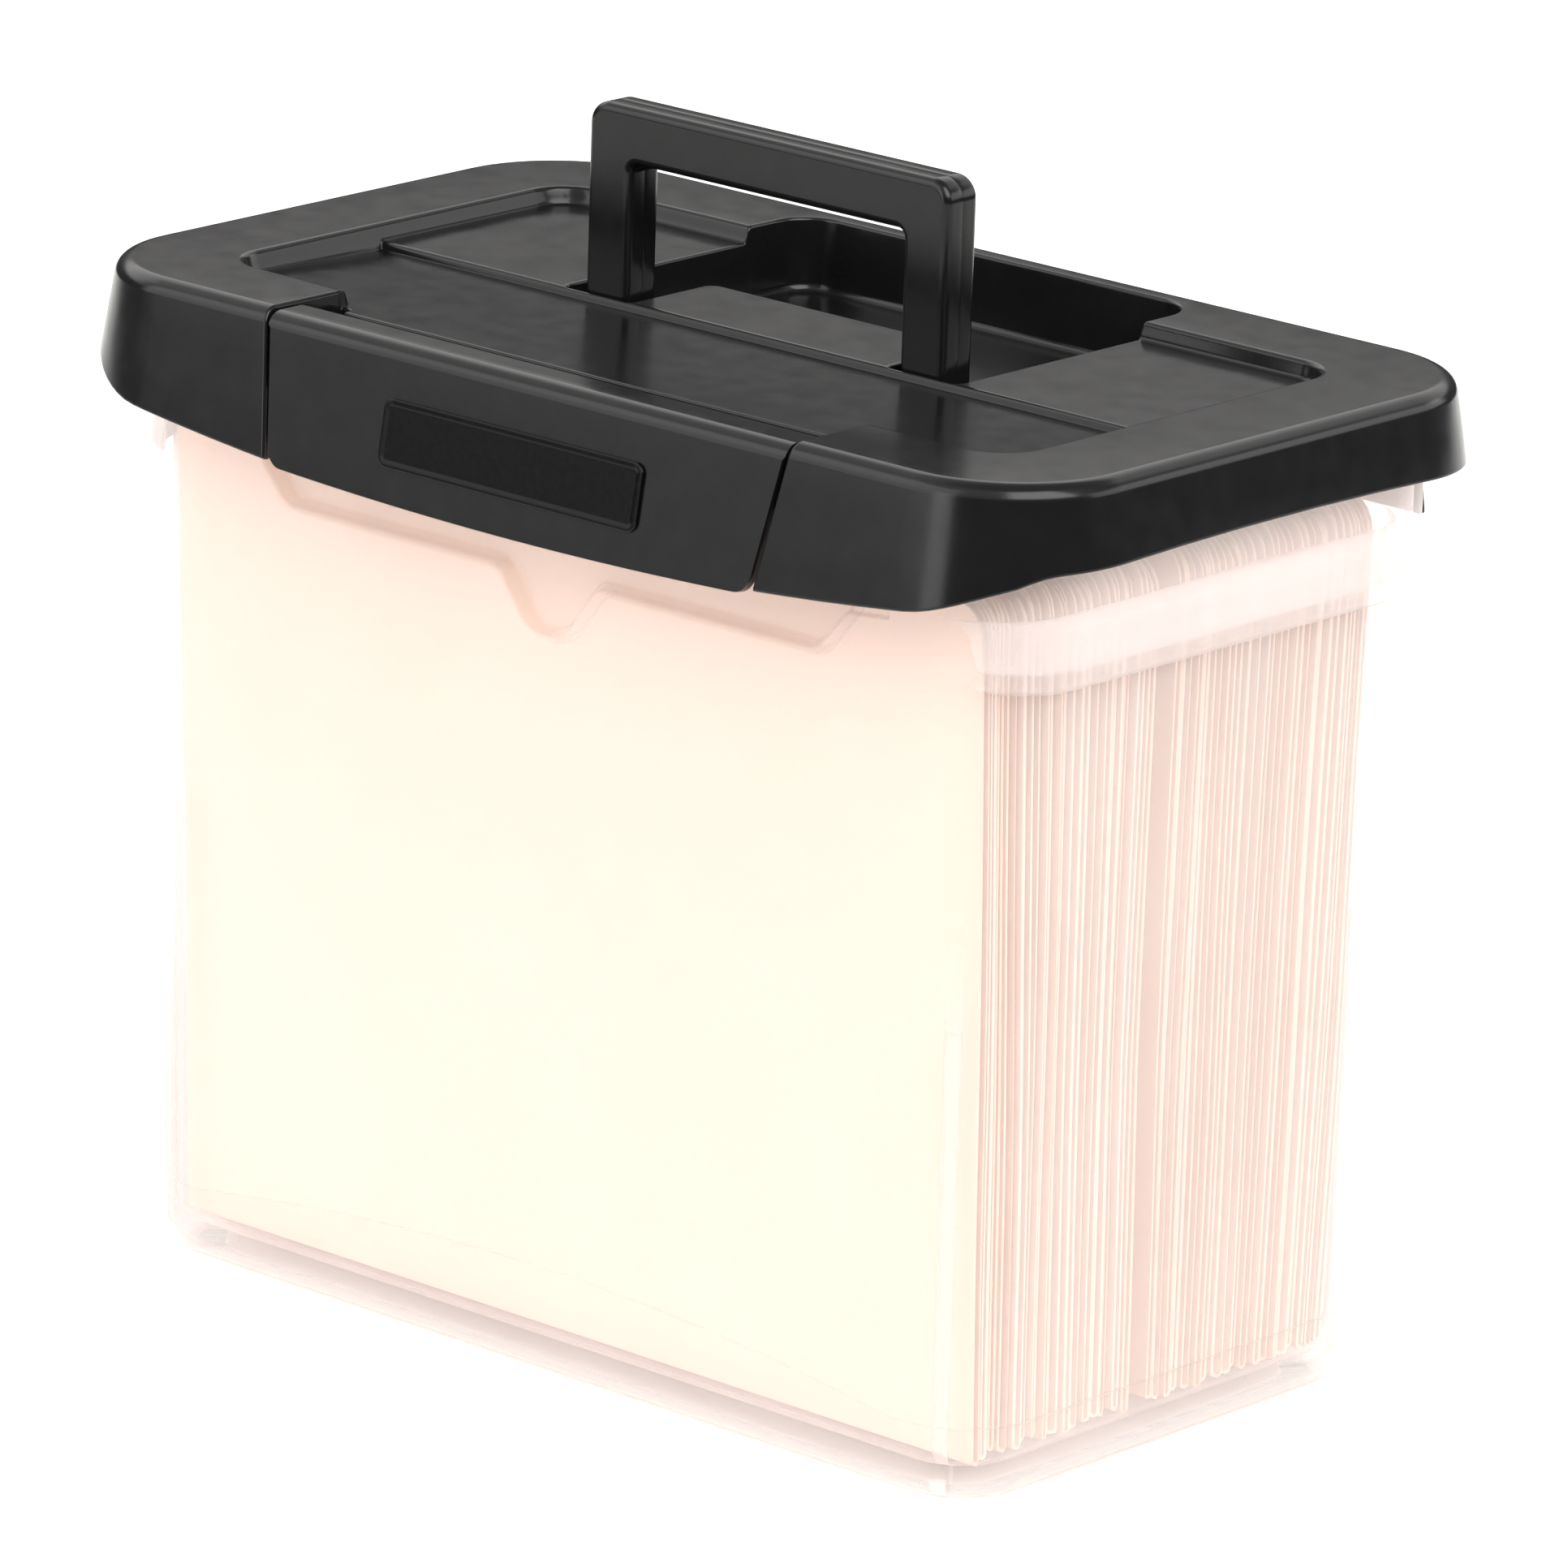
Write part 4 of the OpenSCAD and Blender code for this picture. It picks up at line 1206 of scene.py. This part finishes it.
def folder_tree():
    tree = bpy.data.node_groups.new("row_of_folders", "GeometryNodeTree")
    kinds = {"Geometry": "Geometry", "Folder": "Object", "Tab": "Object", "Count": "Int", "Pitch": "Float",
             "Slot": "Float", "Slot After": "Int", "Lean": "Float", "Floor": "Float", "Spread": "Float",
             "Wander": "Float", "Seed": "Int", "Card": "Material"}
    for name, kind in kinds.items():
        tree.interface.new_socket(name, in_out="INPUT", socket_type="NodeSocket" + kind)
    tree.interface.new_socket("Geometry", in_out="OUTPUT", socket_type="NodeSocketGeometry")
    given = add_node(tree, "NodeGroupInput").outputs

    def work(operation, *values):
        return calculate(tree, operation, *values)

    def geometry(kind, inputs=None, **settings):
        return add_node(tree, "GeometryNode" + kind, inputs, **settings).outputs[0]

    def xyz(**parts):
        return add_node(tree, "ShaderNodeCombineXYZ", parts).outputs[0]

    def chance(low, high, seed):
        inputs = {"Min": low, "Max": high, "Seed": seed}
        return add_node(tree, "FunctionNodeRandomValue", inputs, data_type="FLOAT").outputs[1]

    def stored(points, name, value):
        inputs = {"Geometry": points, "Name": name, "Value": value}
        return geometry("StoreNamedAttribute", inputs, data_type="FLOAT", domain="POINT")

    def read(name):
        return geometry("InputNamedAttribute", {"Name": name}, data_type="FLOAT")

    def drifting(dimensions, **inputs):
        inputs.update(Scale=1.0, Detail=0.0)
        noise_node = add_node(tree, "ShaderNodeTexNoise", inputs, noise_dimensions=dimensions)
        return work("SUBTRACT", noise_node.outputs[0], 0.5)

    number = geometry("InputIndex")
    middle = work("MULTIPLY_ADD", given["Count"], 0.5, -0.5)
    from_middle = work("SUBTRACT", number, middle)
    past_slot = work("GREATER_THAN", number, work("SUBTRACT", given["Slot After"], 0.5))
    place_y = work("MULTIPLY_ADD", work("SUBTRACT", past_slot, 0.5), given["Slot"],
                   work("MULTIPLY", from_middle, given["Pitch"]))
    loose_x = chance(-LOOSE_X, LOOSE_X, given["Seed"])
    lifted = chance(0.0, LIFTED, work("ADD", given["Seed"], 1.0))
    tone = chance(0.0, 1.0, work("ADD", given["Seed"], 2.0))
    spot = xyz(X=loose_x, Y=place_y, Z=work("ADD", given["Floor"], lifted))
    line = geometry("SetPosition", {"Geometry": geometry("MeshLine", {"Count": given["Count"]}),
                                    "Position": spot})
    line = stored(stored(line, "row_y", place_y), "batch", tone)
    lean = work("MULTIPLY", work("DIVIDE", from_middle, middle), work("MULTIPLY", given["Lean"], -1.0))
    turned = xyz(X=lean)

    def row_of(form):
        info = add_node(tree, "GeometryNodeObjectInfo", {"Object": form}).outputs["Geometry"]
        return geometry("InstanceOnPoints", {"Points": line, "Instance": info, "Rotation": turned})

    third = work("FLOORED_MODULO", work("ADD", number, 1.0), 3.0)
    along = xyz(X=work("MULTIPLY_ADD", third, TAB_STEP, TAB_FIRST), Y=LEAF_Y / 1000)
    tabs = geometry("TranslateInstances", {"Instances": row_of(given["Tab"]), "Translation": along,
                                           "Local Space": True})
    joined = add_node(tree, "GeometryNodeJoinGeometry", {0: row_of(given["Folder"])})
    tree.links.new(tabs, joined.inputs[0])
    real = geometry("RealizeInstances", {"Geometry": joined.outputs[0]})

    leaf_y = work("MULTIPLY_ADD", read("leaf"), LEAF_Y / 1000, read("row_y"))
    here = add_node(tree, "ShaderNodeSeparateXYZ", {0: geometry("InputPosition")}).outputs
    reading = xyz(X=work("DIVIDE", here["X"], DRIFT_X), Y=work("DIVIDE", leaf_y, given["Wander"]),
                  Z=work("DIVIDE", here["Z"], DRIFT_Z))
    drift = work("MULTIPLY", drifting("4D", Vector=reading, W=given["Seed"]), 2.0)
    height = stretched(tree, here["Z"], 0.012, 0.11, 0.08, 1.0)
    push = work("MULTIPLY", drift, work("MULTIPLY", given["Spread"], height))
    side = work("MULTIPLY", drifting("1D", W=work("DIVIDE", leaf_y, RAGGED)), RAGGED_BY)
    moved = geometry("SetPosition", {"Geometry": real, "Offset": xyz(X=side, Y=push)})
    painted = geometry("SetMaterial", {"Geometry": moved, "Material": given["Card"]})
    add_node(tree, "NodeGroupOutput", {0: painted})
    return tree


# %% Run the tree and keep the result as one mesh


def grow_with_nodes(name, tree, values):
    """A modifier's inputs are set by the socket's identifier, which the name only leads to."""
    carrier = linked(name, bpy.data.meshes.new(name + "_carrier"))
    modifier = carrier.modifiers.new(name, "NODES")
    modifier.node_group = tree
    for item in tree.interface.items_tree:
        if item.item_type == "SOCKET" and item.in_out == "INPUT" and item.name in values:
            modifier[item.identifier] = values[item.name]
    keep_result(carrier)
    return carrier


folders = grow_with_nodes("manila_folders", folder_tree(), {
    "Folder": folder_form, "Tab": tab_form, "Count": 35, "Pitch": 0.0041, "Slot": 0.006,
    "Slot After": 16, "Lean": math.radians(2.0), "Floor": (TUB_FLOOR + 0.1) / 1000, "Spread": 0.003,
    "Wander": 0.017, "Seed": 7, "Card": card})
for blank in (folder_form, tab_form):
    bpy.data.objects.remove(blank)
finish_shading(folders, weighted=False)
print("folders:", len(folders.data.polygons), "faces;", [m.name for m in folders.data.materials])

# %% [markdown]
# ## The studio
# Black plastic shows mostly what it mirrors, so the room is as important as the material. The
# world is drawn as a photographer would build it round the table: a dim room, and a few soft
# panels, each a window in azimuth and height above the horizon. A tall panel front left
# draws the bright band on the latch, a key panel high on the right lights the folders' ends, a
# low strip behind right lines the rim's edges, and a wide one overhead fills everything.

# %% World, as a room with soft panels


def studio_world():
    world = bpy.data.worlds.new("studio")
    world.use_nodes = True
    tree = world.node_tree
    tree.nodes.clear()
    way = add_node(tree, "ShaderNodeTexCoord").outputs["Generated"]
    flat = add_node(tree, "ShaderNodeVectorMath", {0: way, 1: (1, 1, 0)}, operation="MULTIPLY")
    level = add_node(tree, "ShaderNodeVectorMath", {0: flat.outputs[0]}, operation="NORMALIZE").outputs[0]
    height = add_node(tree, "ShaderNodeSeparateXYZ", {0: way}).outputs["Z"]

    def rise(value, start, end):
        """A soft step from 0 at start to 1 at end."""
        inputs = {"Value": value, "From Min": start, "From Max": end}
        return add_node(tree, "ShaderNodeMapRange", inputs, interpolation_type="SMOOTHSTEP").outputs[0]

    def panel(turn, half, soft, low, high, blur):
        """A soft window of light: turn is degrees from the front towards the right."""
        a = math.radians(turn)
        inputs = {0: level, 1: (math.sin(a), -math.cos(a), 0)}
        near = add_node(tree, "ShaderNodeVectorMath", inputs, operation="DOT_PRODUCT").outputs["Value"]
        side = rise(near, *(math.cos(math.radians(d)) for d in (half + soft, half)))
        up = rise(height, *(math.sin(math.radians(d)) for d in (low - blur, low)))
        down = rise(height, *(math.sin(math.radians(d)) for d in (min(90, high + blur), high)))
        return calculate(tree, "MULTIPLY", calculate(tree, "MULTIPLY", up, down), side)

    total = calculate(tree, "MULTIPLY_ADD", rise(height, -0.05, 0.9), ROOM_RISE * LIGHT, ROOM_LOW * LIGHT)
    for *window, strength in PANELS:
        total = calculate(tree, "MULTIPLY_ADD", panel(*window), strength * LIGHT, total)
    seen = add_node(tree, "ShaderNodeLightPath").outputs["Is Camera Ray"]
    shown = add_node(tree, "ShaderNodeMix", {"Factor": seen, "A": total, "B": 1.0}, data_type="FLOAT")
    background = add_node(tree, "ShaderNodeBackground", {
        "Color": (1.0, 0.985, 0.965, 1.0), "Strength": shown.outputs[0]})
    add_node(tree, "ShaderNodeOutputWorld", {"Surface": background.outputs[0]})
    bpy.context.scene.world = world


LIGHT, ROOM_LOW, ROOM_RISE = 0.735, 0.12, 0.5
PANELS = (
    # turn, half width, softness, lowest, highest, blur (degrees), strength
    (-30, 27, 5, 4, 45, 6, 2.7),
    (-8, 7, 1.5, -12, 20, 4, 2.6),
    (-23, 12, 12, -8, 6, 4, 0.8),
    (70, 24, 8, 28, 62, 8, 7.6),
    (138, 26, 8, 7, 24, 4, 3.2),
    (220, 55, 20, 19.5, 42, 5, 1.8),
    (0, 90, 80, 25, 60, 15, 0.9),
    (0, 180, 1, 66, 90, 12, 1.8),
)
studio_world()
print("panels of light:", len(PANELS))

# %% [markdown]
# The floor is a plain matt white disc, wide enough for the long lens. Beyond its edge the camera
# sees a white backdrop, which lights nothing.

# %% Floor
FLOOR_RADIUS, FLOOR_SIDES = 2.3, 96
floor_mesh = bpy.data.meshes.new("floor")
ring = [(FLOOR_RADIUS * math.cos(a), FLOOR_RADIUS * math.sin(a), 0)
        for a in np.linspace(0, 2 * math.pi, FLOOR_SIDES, endpoint=False)]
floor_mesh.from_pydata(ring, [], [tuple(range(FLOOR_SIDES))])
floor = linked("floor", floor_mesh)


def matt_white_paper():
    material, tree, place = empty_material("matt_white_paper")
    shade(tree, {
        "Base Color": linear("#fbfbfa"), "Roughness": 0.95, "Specular IOR Level": 0.1,
        "Normal": bump(tree, noise(tree, place, 1.5, 2.0), 0.00002, 0.2)})
    return material


floor_mesh.materials.append(matt_white_paper())
print("floor is", round(floor.dimensions.x, 2), "m wide")

# %% Every piece rides on its CAD body and stands for its CAD nodes
rides = (
    (lid, "lid", "black_plastic", ["lid"]),
    (latch, "latch", "black_plastic", ["latch"]),
    (plate, "latch", "plate_plastic", ["label_plate"]),
    (handle, "handle", "black_plastic", ["handle"]),
    (tub, "base", "frosted_plastic", ["tub"]),
    (folders, "base", "card", folder_nodes),
)
for piece, body, slot, nodes in rides:
    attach(piece, body)
    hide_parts(*nodes)
    print(piece.name, "rides on", body)

# %% View transform and transparent bounces
bpy.context.scene.view_settings.view_transform = "Standard"
bpy.context.scene.cycles.transparent_max_bounces = 14
